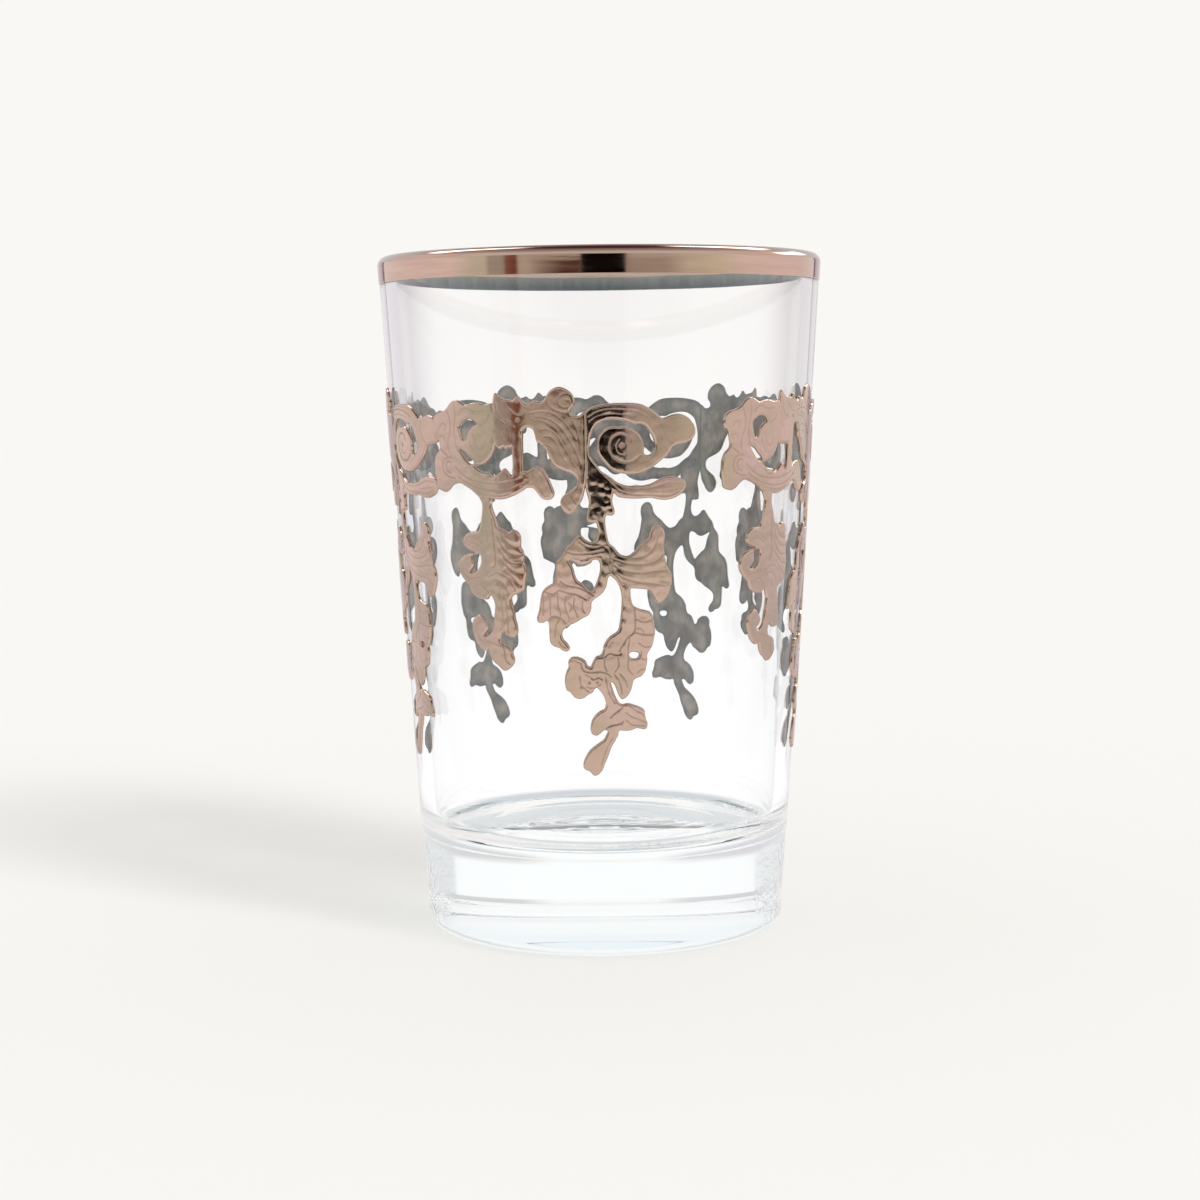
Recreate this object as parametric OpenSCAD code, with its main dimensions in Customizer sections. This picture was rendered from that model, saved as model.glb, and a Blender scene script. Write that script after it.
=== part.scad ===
// Moroccan tea glass with a gilt lip and raised rose-gold scrollwork.
// Millimetres, +Z up. The origin is the centre of the base, on the table.
// The wall is a straight cone. Heights run up from the table, and angles
// turn to the right from the front, which faces -Y.

/* [Glass] */
// Height from the table to the top of the gilt lip
glass_h = 88.5; // [80:0.5:100]
// Diameter of the wall's outer cone at the height of the lip
rim_d = 58; // [54:0.5:62]
// Diameter of the heel's outer cone at the table
heel_d = 47.2; // [44:0.4:52]
// Thickness of the wall
wall_t = 2.2; // [1.6:0.1:3]
// Thickness of the solid base, from the table to the inner floor
base_t = 13.2; // [9:0.2:16]

/* [Heel and floor] */
// How far the heel stands in from the wall above it
heel_step = 0.15; // [0.05:0.05:0.4]
// Height over which the wall draws in to the heel
heel_step_h = 0.6; // [0.3:0.1:1.5]
// Radius of the rounded edge between heel and foot
heel_corner_r = 2; // [1:0.2:3]
// Radius of the rounded corner between inner wall and floor
floor_corner_r = 3.6; // [2:0.2:5]
// Flat border of the floor, from its rounded corner to the dish in its middle
floor_border = 3.9; // [1:0.1:8]
// Depth of the dish pressed in the floor
floor_dish_h = 0.35; // [0.1:0.05:0.8]
// Width of the sloping edge of that dish
floor_dish_edge = 1.6; // [0.4:0.2:3]
// Width of the flat ring that the glass stands on
foot_w = 2.4; // [1.2:0.2:5]
// Depth of the hollow under the foot
punt_h = 1.4; // [0.6:0.2:2.4]

/* [Gilt lip] */
// Height of the gilding down the outside
gilt_h = 3.5; // [2.6:0.1:6]
// Height of the gilding down the inside
gilt_inside_h = 1.7; // [1.5:0.1:2.4]
// Thickness of the gilding with its ground
gilt_t = 0.12; // [0.08:0.02:0.2]

/* [Scrollwork] */
// Number of repeats of the pattern round the wall
repeats = 5; // [2:1:5]
// Angle from one repeat to the next
repeat_angle = 69.8; // [66:0.2:71]
// Angle of the first repeat's stem from the front
first_angle = -1.4; // [-10:0.2:10]
// Depth of the pattern's base line below the lip
frieze_drop = 28.5; // [27:0.5:32]
// Height of one square of the grid that the pattern is drawn on
square_h = 10; // [9:0.1:10.4]
// Thickness of the raised ground of each motif
relief_t = 0.32; // [0.2:0.02:0.5]
// Height of the ribs above that ground
rib_t = 0.16; // [0.08:0.02:0.3]

/* [Hidden] */
// Overrun of every cut
overrun = 1;
// Spans drawn between two points of a curve, and round the lip
curve_steps = 3;
lip_steps = 24;
$fn = 64;

// The wall: its lean, and its outer radius at any height
wall_lean = atan((rim_d - heel_d - 2 * heel_step) / 2 / glass_h);
function wall_r(z) = heel_d / 2 + heel_step + z * tan(wall_lean);
function heel_r(z) = wall_r(z) - heel_step;
function bore_r(z) = wall_r(z) - wall_t / cos(wall_lean);

// The lip: a full round between the two faces of the wall
lip_r = wall_t / 2;
lip_z = glass_h - gilt_t - lip_r;
lip_x = wall_r(lip_z) - lip_r / cos(wall_lean);
wall_square = [cos(wall_lean), -sin(wall_lean)];

// The heel's rounded edge and the floor's rounded corner
heel_corner_x = heel_r(heel_corner_r) - heel_corner_r / cos(wall_lean);
heel_corner_touch = [heel_corner_x, heel_corner_r] + heel_corner_r * wall_square;
floor_corner_z = base_t + floor_corner_r;
floor_corner_x = bore_r(floor_corner_z) - floor_corner_r / cos(wall_lean);
floor_corner_touch = [floor_corner_x, floor_corner_z] + floor_corner_r * wall_square;
bowl_z = floor_corner_z + floor_corner_r;
floor_dish_r = floor_corner_x - floor_border;
punt_r = heel_corner_x - foot_w;
punt_ball_r = (punt_r * punt_r + punt_h * punt_h) / 2 / punt_h;

// The pattern is drawn on squares. Across, a place is a share of a square's
// angle from the repeat's stem, and upwards it is a share of a square's
// height from the frieze's base line. A third share is a half width or radius.
squares_per_repeat_share = 3.34;
square_angle = repeat_angle / squares_per_repeat_share;
frieze_z = glass_h - frieze_drop;
scroll_low_z = base_t;
scroll_high_z = glass_h - gilt_h;
reach = rim_d / 2 + overrun;
rib_root_share = 0.4;

// Where each motif faces, as a share of a square from the repeat's stem
cartouche_face_share = -1.6;
acanthus_face_share = -0.75;
spiral_scroll_face_share = 0.4;
short_spray_face_share = -1.45;
long_spray_face_share = 0;

// Cartouche: a leafy C-scroll round a rosette, with two openings
cartouche_edge_shares = [
    [-0.92, 0.06], [-1.05, -0.10], [-1.30, -0.18], [-1.55, -0.18], [-1.75, -0.10],
    [-1.93, 0.00], [-2.06, -0.03], [-2.14, -0.11], [-2.26, -0.10], [-2.33, 0.03],
    [-2.31, 0.20], [-2.22, 0.32], [-2.20, 0.44], [-2.18, 0.60], [-2.15, 0.76],
    [-2.05, 0.83], [-1.97, 0.94], [-1.80, 1.00], [-1.70, 0.96], [-1.55, 0.99],
    [-1.40, 0.96], [-1.36, 0.86], [-1.32, 0.66], [-1.25, 0.46], [-1.13, 0.43],
    [-1.02, 0.50], [-0.95, 0.56], [-0.91, 0.45], [-0.92, 0.25]];
cartouche_eye_shares = [
    [-1.86, 0.70], [-1.76, 0.75], [-1.62, 0.73], [-1.72, 0.66], [-1.79, 0.57], [-1.84, 0.60]];
cartouche_bay_shares = [
    [-1.84, 0.36], [-1.72, 0.25], [-1.60, 0.21], [-1.46, 0.22], [-1.36, 0.30],
    [-1.29, 0.40], [-1.24, 0.52], [-1.12, 0.50], [-1.10, 0.30], [-1.15, 0.13],
    [-1.30, 0.10], [-1.50, 0.13], [-1.70, 0.19], [-1.83, 0.31]];
cartouche_drop_shares = [
    [-0.90, 0.24, 0.05], [-0.79, 0.16, 0.07], [-0.70, 0.02, 0.08], [-0.65, -0.12, 0.06]];
cartouche_rib_shares = [
    [-1.95, 0.84, 0.025], [-2.05, 0.62, 0.03], [-2.06, 0.36, 0.03], [-1.96, 0.14, 0.035],
    [-1.68, 0.02, 0.04], [-1.36, -0.04, 0.04], [-1.08, 0.02, 0.03]];
cartouche_lobe_rib_shares = [
    [-2.08, 0.06, 0.03], [-2.19, 0.02, 0.035], [-2.23, 0.12, 0.03], [-2.14, 0.22, 0.025]];
rosette_shares = [-1.62, 0.50, 0.19];
rosette_ring_share = 0.14;
rosette_bud_share = 0.07;

// Acanthus leaf: a drooping leaf that grows from a curled ball
acanthus_edge_shares = [
    [-1.32, 1.07], [-1.20, 1.03], [-1.06, 0.99], [-0.95, 1.04], [-0.80, 0.99],
    [-0.68, 1.02], [-0.62, 1.12], [-0.48, 1.17], [-0.36, 1.13], [-0.29, 1.00],
    [-0.31, 0.90], [-0.26, 0.82], [-0.21, 0.73], [-0.20, 0.40], [-0.20, 0.00],
    [-0.21, -0.25], [-0.30, -0.35], [-0.43, -0.37], [-0.50, -0.28], [-0.46, -0.18],
    [-0.31, -0.07], [-0.30, 0.03], [-0.42, 0.08], [-0.56, 0.12], [-0.66, 0.25],
    [-0.73, 0.45], [-0.83, 0.63], [-0.90, 0.70], [-0.97, 0.64], [-1.03, 0.55],
    [-1.13, 0.47], [-1.21, 0.52], [-1.28, 0.68], [-1.33, 0.86]];
acanthus_rib_shares = [
    [[-1.20, 0.92, 0.025], [-0.86, 0.86, 0.035], [-0.58, 0.66, 0.035], [-0.34, 0.30, 0.02]],
    [[-1.14, 0.74, 0.025], [-0.80, 0.72, 0.03], [-0.56, 0.42, 0.03], [-0.44, 0.20, 0.02]],
    [[-0.72, 0.93, 0.025], [-0.52, 0.82, 0.03], [-0.34, 0.60, 0.03], [-0.27, 0.30, 0.02]],
    [[-0.25, 0.10, 0.02], [-0.26, -0.10, 0.025], [-0.33, -0.26, 0.03]]];
acanthus_ball_shares = [-0.47, 0.99, 0.13];
acanthus_ball_bud_share = 0.06;

// Spiral scroll with its knob, its rolled eye and the bar under it
spiral_stroke_shares = [
    [-0.10, 0.00, 0.07], [-0.13, 0.30, 0.045], [-0.11, 0.60, 0.06], [0.00, 0.79, 0.09],
    [0.26, 0.86, 0.11], [0.54, 0.79, 0.12], [0.71, 0.60, 0.12], [0.68, 0.34, 0.12],
    [0.48, 0.17, 0.10], [0.24, 0.18, 0.09], [0.07, 0.33, 0.09], [0.05, 0.52, 0.07]];
spiral_rib_shares = [
    [-0.02, 0.74, 0.02], [0.25, 0.87, 0.035], [0.53, 0.80, 0.04], [0.70, 0.60, 0.04],
    [0.67, 0.35, 0.04], [0.48, 0.18, 0.035], [0.25, 0.19, 0.03], [0.09, 0.33, 0.02]];
spiral_eye_shares = [0.30, 0.42, 0.22];
spiral_eye_bud_share = 0.09;
spiral_knob_shares = [0.95, 0.61, 0.18];
spiral_knob_bud_share = 0.08;
spiral_neck_shares = [[0.68, 0.74, 0.08], [0.82, 0.68, 0.13], [0.95, 0.61, 0.17]];
spiral_bar_shares = [
    [-0.10, 0.06, 0.08], [0.14, -0.04, 0.07], [0.42, -0.11, 0.07], [0.66, -0.08, 0.10],
    [0.86, -0.05, 0.12], [0.97, -0.04, 0.11]];
spiral_bar_rib_shares = [
    [0.16, -0.05, 0.02], [0.42, -0.11, 0.025], [0.66, -0.07, 0.035], [0.88, -0.04, 0.03]];

// Short spray: stem, leaf with two curls, bud and end curl
short_spray_edge_shares = [
    [-1.60, -0.21], [-1.58, -0.35], [-1.60, -0.48], [-1.66, -0.56], [-1.78, -0.56],
    [-1.88, -0.63], [-1.89, -0.75], [-1.80, -0.82], [-1.71, -0.84], [-1.80, -0.88],
    [-1.91, -0.91], [-1.98, -1.03], [-1.95, -1.17], [-1.82, -1.26], [-1.79, -1.36],
    [-1.68, -1.42], [-1.55, -1.38], [-1.47, -1.42], [-1.45, -1.58], [-1.45, -1.70],
    [-1.52, -1.70], [-1.58, -1.63], [-1.70, -1.63], [-1.79, -1.72], [-1.81, -1.86],
    [-1.75, -2.00], [-1.62, -2.07], [-1.54, -2.07], [-1.52, -2.20], [-1.44, -2.30],
    [-1.33, -2.34], [-1.23, -2.29], [-1.18, -2.18], [-1.21, -2.08], [-1.29, -2.04],
    [-1.29, -1.97], [-1.20, -1.95], [-1.12, -1.88], [-1.10, -1.70], [-1.14, -1.52],
    [-1.20, -1.42], [-1.13, -1.38], [-1.04, -1.28], [-0.98, -1.15], [-1.00, -1.00],
    [-0.97, -0.88], [-1.02, -0.72], [-1.10, -0.61], [-1.22, -0.58], [-1.32, -0.60],
    [-1.38, -0.48], [-1.39, -0.35], [-1.38, -0.21]];
short_spray_eye_shares = [[-1.75, -1.00, 0.05], [-1.60, -1.83, 0.055]];
short_spray_rib_shares = [
    [[-1.49, -0.40, 0.03], [-1.48, -0.70, 0.03], [-1.44, -1.00, 0.03], [-1.36, -1.28, 0.02]],
    [[-1.30, -0.70, 0.03], [-1.18, -0.80, 0.035], [-1.10, -0.98, 0.03]],
    [[-1.34, -0.92, 0.03], [-1.20, -1.02, 0.035], [-1.10, -1.20, 0.03]],
    [[-1.80, -0.68, 0.03], [-1.66, -0.68, 0.03], [-1.56, -0.78, 0.02]],
    [[-1.33, -1.44, 0.03], [-1.32, -1.70, 0.04], [-1.34, -1.98, 0.035], [-1.36, -2.20, 0.03]]];

// Long spray: stem, bell, open flower, scalloped leaf, rose and end bud
long_spray_stem_shares = [
    [-0.06, -0.16, 0.12], [-0.05, -0.38, 0.10], [0.00, -0.58, 0.09], [0.04, -0.80, 0.10],
    [0.10, -1.05, 0.11], [0.24, -1.28, 0.09], [0.30, -1.50, 0.09], [0.26, -1.72, 0.09],
    [0.14, -1.92, 0.11], [0.02, -2.08, 0.12], [-0.04, -2.24, 0.12]];
long_spray_thread_shares = [
    [[-0.46, -0.84, 0.07], [-0.47, -1.04, 0.09], [-0.46, -1.20, 0.12]],
    [[0.06, -0.98, 0.06], [0.02, -1.18, 0.05], [-0.08, -1.32, 0.05], [-0.18, -1.38, 0.05]],
    [[-0.26, -2.42, 0.13], [0.04, -2.34, 0.14], [0.26, -2.32, 0.12]],
    [[-0.02, -2.42, 0.07], [0.06, -2.60, 0.07], [0.14, -2.78, 0.08]]];
long_spray_leaf_shares = [
    [0.02, -0.70], [-0.12, -0.68], [-0.24, -0.62], [-0.34, -0.67], [-0.44, -0.78],
    [-0.53, -0.86], [-0.50, -0.95], [-0.36, -0.92], [-0.24, -0.97], [-0.12, -0.97],
    [0.02, -0.94]];
long_spray_bell_shares = [
    [-0.36, -1.14], [-0.22, -1.20], [-0.13, -1.32], [-0.14, -1.50], [-0.22, -1.62],
    [-0.36, -1.68], [-0.46, -1.74], [-0.48, -1.86], [-0.45, -2.04], [-0.56, -2.03],
    [-0.66, -1.97], [-0.68, -1.80], [-0.66, -1.66], [-0.74, -1.70], [-0.83, -1.67],
    [-0.82, -1.50], [-0.77, -1.34], [-0.66, -1.22], [-0.54, -1.14]];
long_spray_flower_shares = [
    [0.02, -0.86], [0.14, -0.80], [0.28, -0.88], [0.42, -0.82], [0.52, -0.70],
    [0.58, -0.56], [0.68, -0.53], [0.78, -0.60], [0.80, -0.74], [0.82, -0.88],
    [0.89, -1.04], [0.89, -1.22], [0.82, -1.34], [0.82, -1.48], [0.73, -1.53],
    [0.66, -1.42], [0.54, -1.30], [0.38, -1.27], [0.24, -1.26], [0.10, -1.18],
    [0.02, -1.04]];
long_spray_scallop_shares = [
    [0.30, -1.48], [0.44, -1.52], [0.60, -1.56], [0.68, -1.68], [0.66, -1.78],
    [0.70, -1.88], [0.66, -1.98], [0.66, -2.06], [0.60, -2.14], [0.57, -2.26],
    [0.52, -2.38], [0.42, -2.40], [0.28, -2.42], [0.10, -2.36], [-0.02, -2.24],
    [0.00, -2.08], [0.14, -1.92], [0.24, -1.72]];
long_spray_rose_shares = [
    [-0.34, -2.14], [-0.24, -2.20], [-0.19, -2.32], [-0.08, -2.38], [-0.04, -2.46],
    [-0.08, -2.54], [-0.18, -2.58], [-0.24, -2.64], [-0.34, -2.66], [-0.46, -2.60],
    [-0.51, -2.48], [-0.47, -2.36], [-0.45, -2.26], [-0.42, -2.17]];
long_spray_leaflet_shares = [
    [0.04, -2.36], [0.22, -2.32], [0.38, -2.40], [0.36, -2.56], [0.26, -2.65],
    [0.18, -2.56], [0.10, -2.46]];
long_spray_hood_shares = [
    [0.12, -2.72], [0.34, -2.70], [0.50, -2.77], [0.54, -2.88], [0.58, -3.00],
    [0.46, -3.04], [0.30, -3.04], [0.16, -3.03], [0.04, -3.07], [-0.08, -3.10],
    [-0.17, -3.05], [-0.16, -2.92], [-0.06, -2.80]];
long_spray_bud_shares = [
    [0.10, -3.00], [0.22, -3.00], [0.14, -3.16], [0.06, -3.30], [0.00, -3.44],
    [-0.04, -3.56], [-0.12, -3.61], [-0.22, -3.56], [-0.28, -3.50], [-0.26, -3.38],
    [-0.18, -3.28], [-0.06, -3.18], [0.04, -3.10]];
long_spray_eye_shares = [0.38, -2.12, 0.04];
long_spray_rib_shares = [
    [[-0.05, -0.40, 0.03], [0.00, -0.62, 0.03], [0.05, -0.84, 0.035], [0.14, -1.08, 0.03]],
    [[0.22, -1.00, 0.025], [0.46, -0.98, 0.035], [0.66, -0.78, 0.03]],
    [[0.24, -1.12, 0.025], [0.52, -1.12, 0.035], [0.76, -1.16, 0.03]],
    [[-0.46, -1.10, 0.03], [-0.42, -1.32, 0.035], [-0.54, -1.56, 0.035], [-0.58, -1.86, 0.03]],
    [[-0.30, -1.30, 0.025], [-0.28, -1.48, 0.03], [-0.38, -1.60, 0.02]],
    [[0.29, -1.52, 0.03], [0.26, -1.74, 0.035], [0.14, -1.96, 0.04], [0.02, -2.14, 0.03]],
    [[0.38, -1.78, 0.02], [0.50, -1.70, 0.03], [0.60, -1.66, 0.025]],
    [[0.34, -1.94, 0.02], [0.48, -1.90, 0.03], [0.61, -1.87, 0.025]],
    [[0.12, -2.20, 0.03], [0.28, -2.26, 0.035], [0.46, -2.26, 0.03]],
    [[-0.04, -2.92, 0.03], [0.16, -2.82, 0.035], [0.40, -2.84, 0.03]],
    [[0.12, -3.10, 0.025], [-0.02, -3.28, 0.03], [-0.14, -3.46, 0.04]]];
long_spray_bead_shares = [
    [-0.34, -2.30, 0.07], [-0.38, -2.50, 0.06], [-0.22, -2.48, 0.045], [-0.12, -2.46, 0.04]];

// Names of the glass, its gilt lip and the motifs of each repeat
MOTIFS = ["cartouche", "acanthus_leaf", "spiral_scroll", "short_spray", "long_spray"];

// Smooth curve through points: one span of it, then open and closed runs
function span(a, b, c, d, t) =
    (2 * b + (c - a) * t + (2 * a - 5 * b + 4 * c - d) * t * t
        + (3 * b - a - 3 * c + d) * t * t * t) / 2;
function loop_curve(p) = let (n = len(p))
    [for (i = [0:n - 1]) for (k = [0:curve_steps - 1])
        span(p[(i + n - 1) % n], p[i], p[(i + 1) % n], p[(i + 2) % n], k / curve_steps)];
function run_curve(p) = let (n = len(p))
    [for (i = [0:n - 2]) for (k = [0:curve_steps - (i < n - 2 ? 1 : 0)])
        span(p[max(i - 1, 0)], p[i], p[i + 1], p[min(i + 2, n - 1)], k / curve_steps)];

// Place of a share on the plane that the motif faces
function place(share, face_share) =
    let (z = frieze_z + share.y * square_h)
    [wall_r(z) * sin((share.x - face_share) * square_angle), z];
// Angle of a repeat's stem from the front. The repeats run round to the left,
// and the last of them leaves a wider gap, the seam, right of the first.
function stem_angle(i) = first_angle - (i - 1) * repeat_angle;

// Closed outline through the shares
module patch(shares, face_share) {
    polygon(loop_curve([for (s = shares) place(s, face_share)]));
}

// Band along the shares, as wide as their third share says
module stroke(shares, face_share) {
    line = run_curve([for (s = shares) concat(place(s, face_share), s.z * square_h)]);
    n = len(line);
    side = [for (i = [0:n - 1])
        let (run = line[min(i + 1, n - 1)] - line[max(i - 1, 0)])
        [-run.y, run.x] / norm([run.x, run.y]) * line[i].z];
    polygon(concat(
        [for (i = [0:n - 1]) [line[i].x, line[i].y] + side[i]],
        [for (i = [n - 1:-1:0]) [line[i].x, line[i].y] - side[i]]));
}

// Disc at a share, whose third share is its radius
module disc(share, face_share, r_share) {
    translate(place(share, face_share))
        circle(r = (is_undef(r_share) ? share.z : r_share) * square_h);
}

// Layer of the wall's outside between two heights above its surface
module wall_layer(low, high) {
    rotate_extrude()
        polygon([
            [wall_r(scroll_low_z) + low, scroll_low_z],
            [wall_r(scroll_low_z) + high, scroll_low_z],
            [wall_r(scroll_high_z) + high, scroll_high_z],
            [wall_r(scroll_high_z) + low, scroll_high_z]]);
}

// Drawing laid on the wall where the motif faces
module on_wall(low, high) {
    intersection() {
        wall_layer(low, high);
        rotate([90, 0, 0])
            linear_extrude(height = reach)
                children();
    }
}

// Motif of a repeat: the first child is its ground, the second its ribs
module motif(i, face_share) {
    rotate([0, 0, stem_angle(i) + face_share * square_angle])
        union() {
            on_wall(0, relief_t)
                children(0);
            on_wall(relief_t * rib_root_share, relief_t + rib_t)
                children(1);
        }
}

// Outside of the glass up to the lip, solid up to the top of the bowl's corner
module outside_section() {
    polygon([
        [0, 0],
        [heel_corner_x, 0],
        [heel_corner_x, heel_corner_r],
        heel_corner_touch,
        [heel_r(base_t - heel_step_h), base_t - heel_step_h],
        [wall_r(base_t), base_t],
        [lip_x, lip_z] + lip_r * wall_square,
        [lip_x, lip_z],
        [lip_x, lip_z] - lip_r * wall_square,
        [bore_r(bowl_z), bowl_z],
        [0, bowl_z]]);
    translate([heel_corner_x, heel_corner_r])
        circle(r = heel_corner_r);
    translate([lip_x, lip_z])
        circle(r = lip_r);
}

// Lower end of the bowl: rounded corner, floor and the dish in the floor
module bowl_section() {
    polygon([
        [0, base_t],
        [floor_corner_x, base_t],
        [floor_corner_x, floor_corner_z],
        floor_corner_touch,
        [bore_r(bowl_z + overrun), bowl_z + overrun],
        [0, bowl_z + overrun]]);
    translate([floor_corner_x, floor_corner_z])
        circle(r = floor_corner_r);
    polygon([
        [0, base_t + overrun],
        [floor_dish_r, base_t + overrun],
        [floor_dish_r, base_t],
        [floor_dish_r - floor_dish_edge, base_t - floor_dish_h],
        [0, base_t - floor_dish_h]]);
}

// Hollow under the foot, a flat cap of a large ball
module punt_section() {
    intersection() {
        translate([0, punt_h - punt_ball_r])
            circle(r = punt_ball_r, $fn = 360);
        translate([0, -overrun])
            square([punt_r + overrun, punt_h + 2 * overrun]);
    }
}

// Path over the lip at a distance from the glass, from outside to inside
function over_lip(away, outer_low, inner_low) = concat(
    [[wall_r(outer_low) + away / cos(wall_lean), outer_low]],
    [for (k = [0:lip_steps])
        let (turn = 180 * k / lip_steps - wall_lean)
        [lip_x, lip_z] + (lip_r + away) * [cos(turn), sin(turn)]],
    [[bore_r(inner_low) - away / cos(wall_lean), inner_low]]);
function turned_round(p) = [for (k = [len(p) - 1:-1:0]) p[k]];

// Pressed glass: wall, rounded lip, solid base, heel and hollow foot
module glass_body() {
    color([0.86, 0.91, 0.93, 0.35])
        rotate_extrude()
            difference() {
                outside_section();
                bowl_section();
                punt_section();
            }
}

// Gilding fired over the lip, outside and inside
module gilt_lip() {
    outer_low = glass_h - gilt_h;
    inner_low = glass_h - gilt_inside_h;
    color([0.76, 0.62, 0.55])
        rotate_extrude()
            polygon(concat(
                over_lip(gilt_t, outer_low, inner_low),
                turned_round(over_lip(0, outer_low, inner_low))));
}

// Leafy C-scroll round a rosette, raised on the wall
module cartouche(i) {
    face = cartouche_face_share;
    color([0.73, 0.61, 0.54])
        motif(i, face) {
            union() {
                difference() {
                    patch(cartouche_edge_shares, face);
                    patch(cartouche_eye_shares, face);
                    patch(cartouche_bay_shares, face);
                }
                stroke(cartouche_drop_shares, face);
            }
            union() {
                stroke(cartouche_rib_shares, face);
                stroke(cartouche_lobe_rib_shares, face);
                difference() {
                    disc(rosette_shares, face);
                    disc(rosette_shares, face, rosette_ring_share);
                }
                disc(rosette_shares, face, rosette_bud_share);
            }
        }
}

// Drooping leaf with its curled ball
module acanthus_leaf(i) {
    face = acanthus_face_share;
    color([0.72, 0.60, 0.53])
        motif(i, face) {
            patch(acanthus_edge_shares, face);
            union() {
                for (rib = acanthus_rib_shares)
                    stroke(rib, face);
                difference() {
                    disc(acanthus_ball_shares, face);
                    disc(acanthus_ball_shares, face, acanthus_ball_bud_share);
                }
            }
        }
}

// Rolled scroll with its knob and the bar below it
module spiral_scroll(i) {
    face = spiral_scroll_face_share;
    color([0.73, 0.61, 0.54])
        motif(i, face) {
            union() {
                stroke(spiral_stroke_shares, face);
                stroke(spiral_neck_shares, face);
                stroke(spiral_bar_shares, face);
                disc(spiral_eye_shares, face);
                disc(spiral_knob_shares, face);
            }
            union() {
                stroke(spiral_rib_shares, face);
                stroke(spiral_bar_rib_shares, face);
                disc(spiral_eye_shares, face, spiral_eye_bud_share);
                disc(spiral_knob_shares, face, spiral_knob_bud_share);
            }
        }
}

// Short hanging spray under the cartouche
module short_spray(i) {
    face = short_spray_face_share;
    color([0.74, 0.62, 0.56])
        motif(i, face) {
            difference() {
                patch(short_spray_edge_shares, face);
                for (eye = short_spray_eye_shares)
                    disc(eye, face);
            }
            for (rib = short_spray_rib_shares)
                stroke(rib, face);
        }
}

// Long hanging spray under the spiral scroll
module long_spray(i) {
    face = long_spray_face_share;
    color([0.74, 0.62, 0.56])
        motif(i, face) {
            difference() {
                union() {
                    stroke(long_spray_stem_shares, face);
                    for (thread = long_spray_thread_shares)
                        stroke(thread, face);
                    patch(long_spray_leaf_shares, face);
                    patch(long_spray_bell_shares, face);
                    patch(long_spray_flower_shares, face);
                    patch(long_spray_scallop_shares, face);
                    patch(long_spray_rose_shares, face);
                    patch(long_spray_leaflet_shares, face);
                    patch(long_spray_hood_shares, face);
                    patch(long_spray_bud_shares, face);
                }
                disc(long_spray_eye_shares, face);
            }
            union() {
                for (rib = long_spray_rib_shares)
                    stroke(rib, face);
                for (bead = long_spray_bead_shares)
                    disc(bead, face);
            }
        }
}

glass_body();
gilt_lip();
for (i = [1:repeats]) {
    cartouche(i);
    acanthus_leaf(i);
    spiral_scroll(i);
    short_spray(i);
    long_spray(i);
}
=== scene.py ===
"""Moroccan tea glass: the looks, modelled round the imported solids.

Metres in the scene, millimetres in the drawings. The drawings lie on the
wall rolled out flat: across is the arc at the middle of the frieze, from the
front to the right, and up is the height above the table.
"""
import math

import bpy
import numpy as np
from mathutils import Euler, Matrix


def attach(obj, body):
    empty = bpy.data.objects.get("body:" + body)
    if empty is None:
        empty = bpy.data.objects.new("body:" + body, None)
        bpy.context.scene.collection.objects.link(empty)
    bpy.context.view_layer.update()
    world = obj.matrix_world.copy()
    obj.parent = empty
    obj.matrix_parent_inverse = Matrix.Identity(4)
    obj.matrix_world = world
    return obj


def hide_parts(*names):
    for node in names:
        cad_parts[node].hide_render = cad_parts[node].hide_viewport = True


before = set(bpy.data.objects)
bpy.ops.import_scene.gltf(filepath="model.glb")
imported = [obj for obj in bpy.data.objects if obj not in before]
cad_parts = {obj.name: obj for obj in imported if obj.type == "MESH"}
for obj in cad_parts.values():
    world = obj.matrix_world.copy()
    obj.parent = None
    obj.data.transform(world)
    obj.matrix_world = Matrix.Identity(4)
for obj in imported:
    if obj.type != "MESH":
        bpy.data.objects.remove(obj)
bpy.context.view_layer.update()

MM = 0.001

# The glass, as the solids have it
GLASS_H = 88.5
HEEL_R = 23.6
HEEL_STEP = 0.15
WALL_SLOPE = 10.5 / 2 / GLASS_H
WALL_T = 2.2
BASE_T = 13.2
FLOOR_CORNER_R = 3.6
HEEL_CORNER_R = 2.0
FOOT_W = 2.4
PUNT_H = 1.4
GILT_T = 0.12
GILT_H = 3.5
GILT_INSIDE_H = 1.7
REPEATS = 5
REPEAT_ANGLE = math.radians(69.8)
FRIEZE_R = 27.42

LEAN = math.atan(WALL_SLOPE)
LIP_R = WALL_T / 2
LIP_Z = GLASS_H - GILT_T - LIP_R


def wall_r(z):
    return HEEL_R + HEEL_STEP + z * WALL_SLOPE


def bore_r(z):
    return wall_r(z) - WALL_T / math.cos(LEAN)


LIP_X = wall_r(LIP_Z) - LIP_R / math.cos(LEAN)


# Small helpers
def ease(share):
    """0 to 1 with a soft start and a soft end."""
    share = np.clip(share, 0, 1)
    return share * share * (3 - 2 * share)


def linear(code):
    """sRGB hex to linear RGBA."""
    parts = [int(code[k:k + 2], 16) / 255 for k in (1, 3, 5)]
    return tuple(c / 12.92 if c <= 0.04045 else ((c + 0.055) / 1.055) ** 2.4 for c in parts) + (1.0,)


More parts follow.
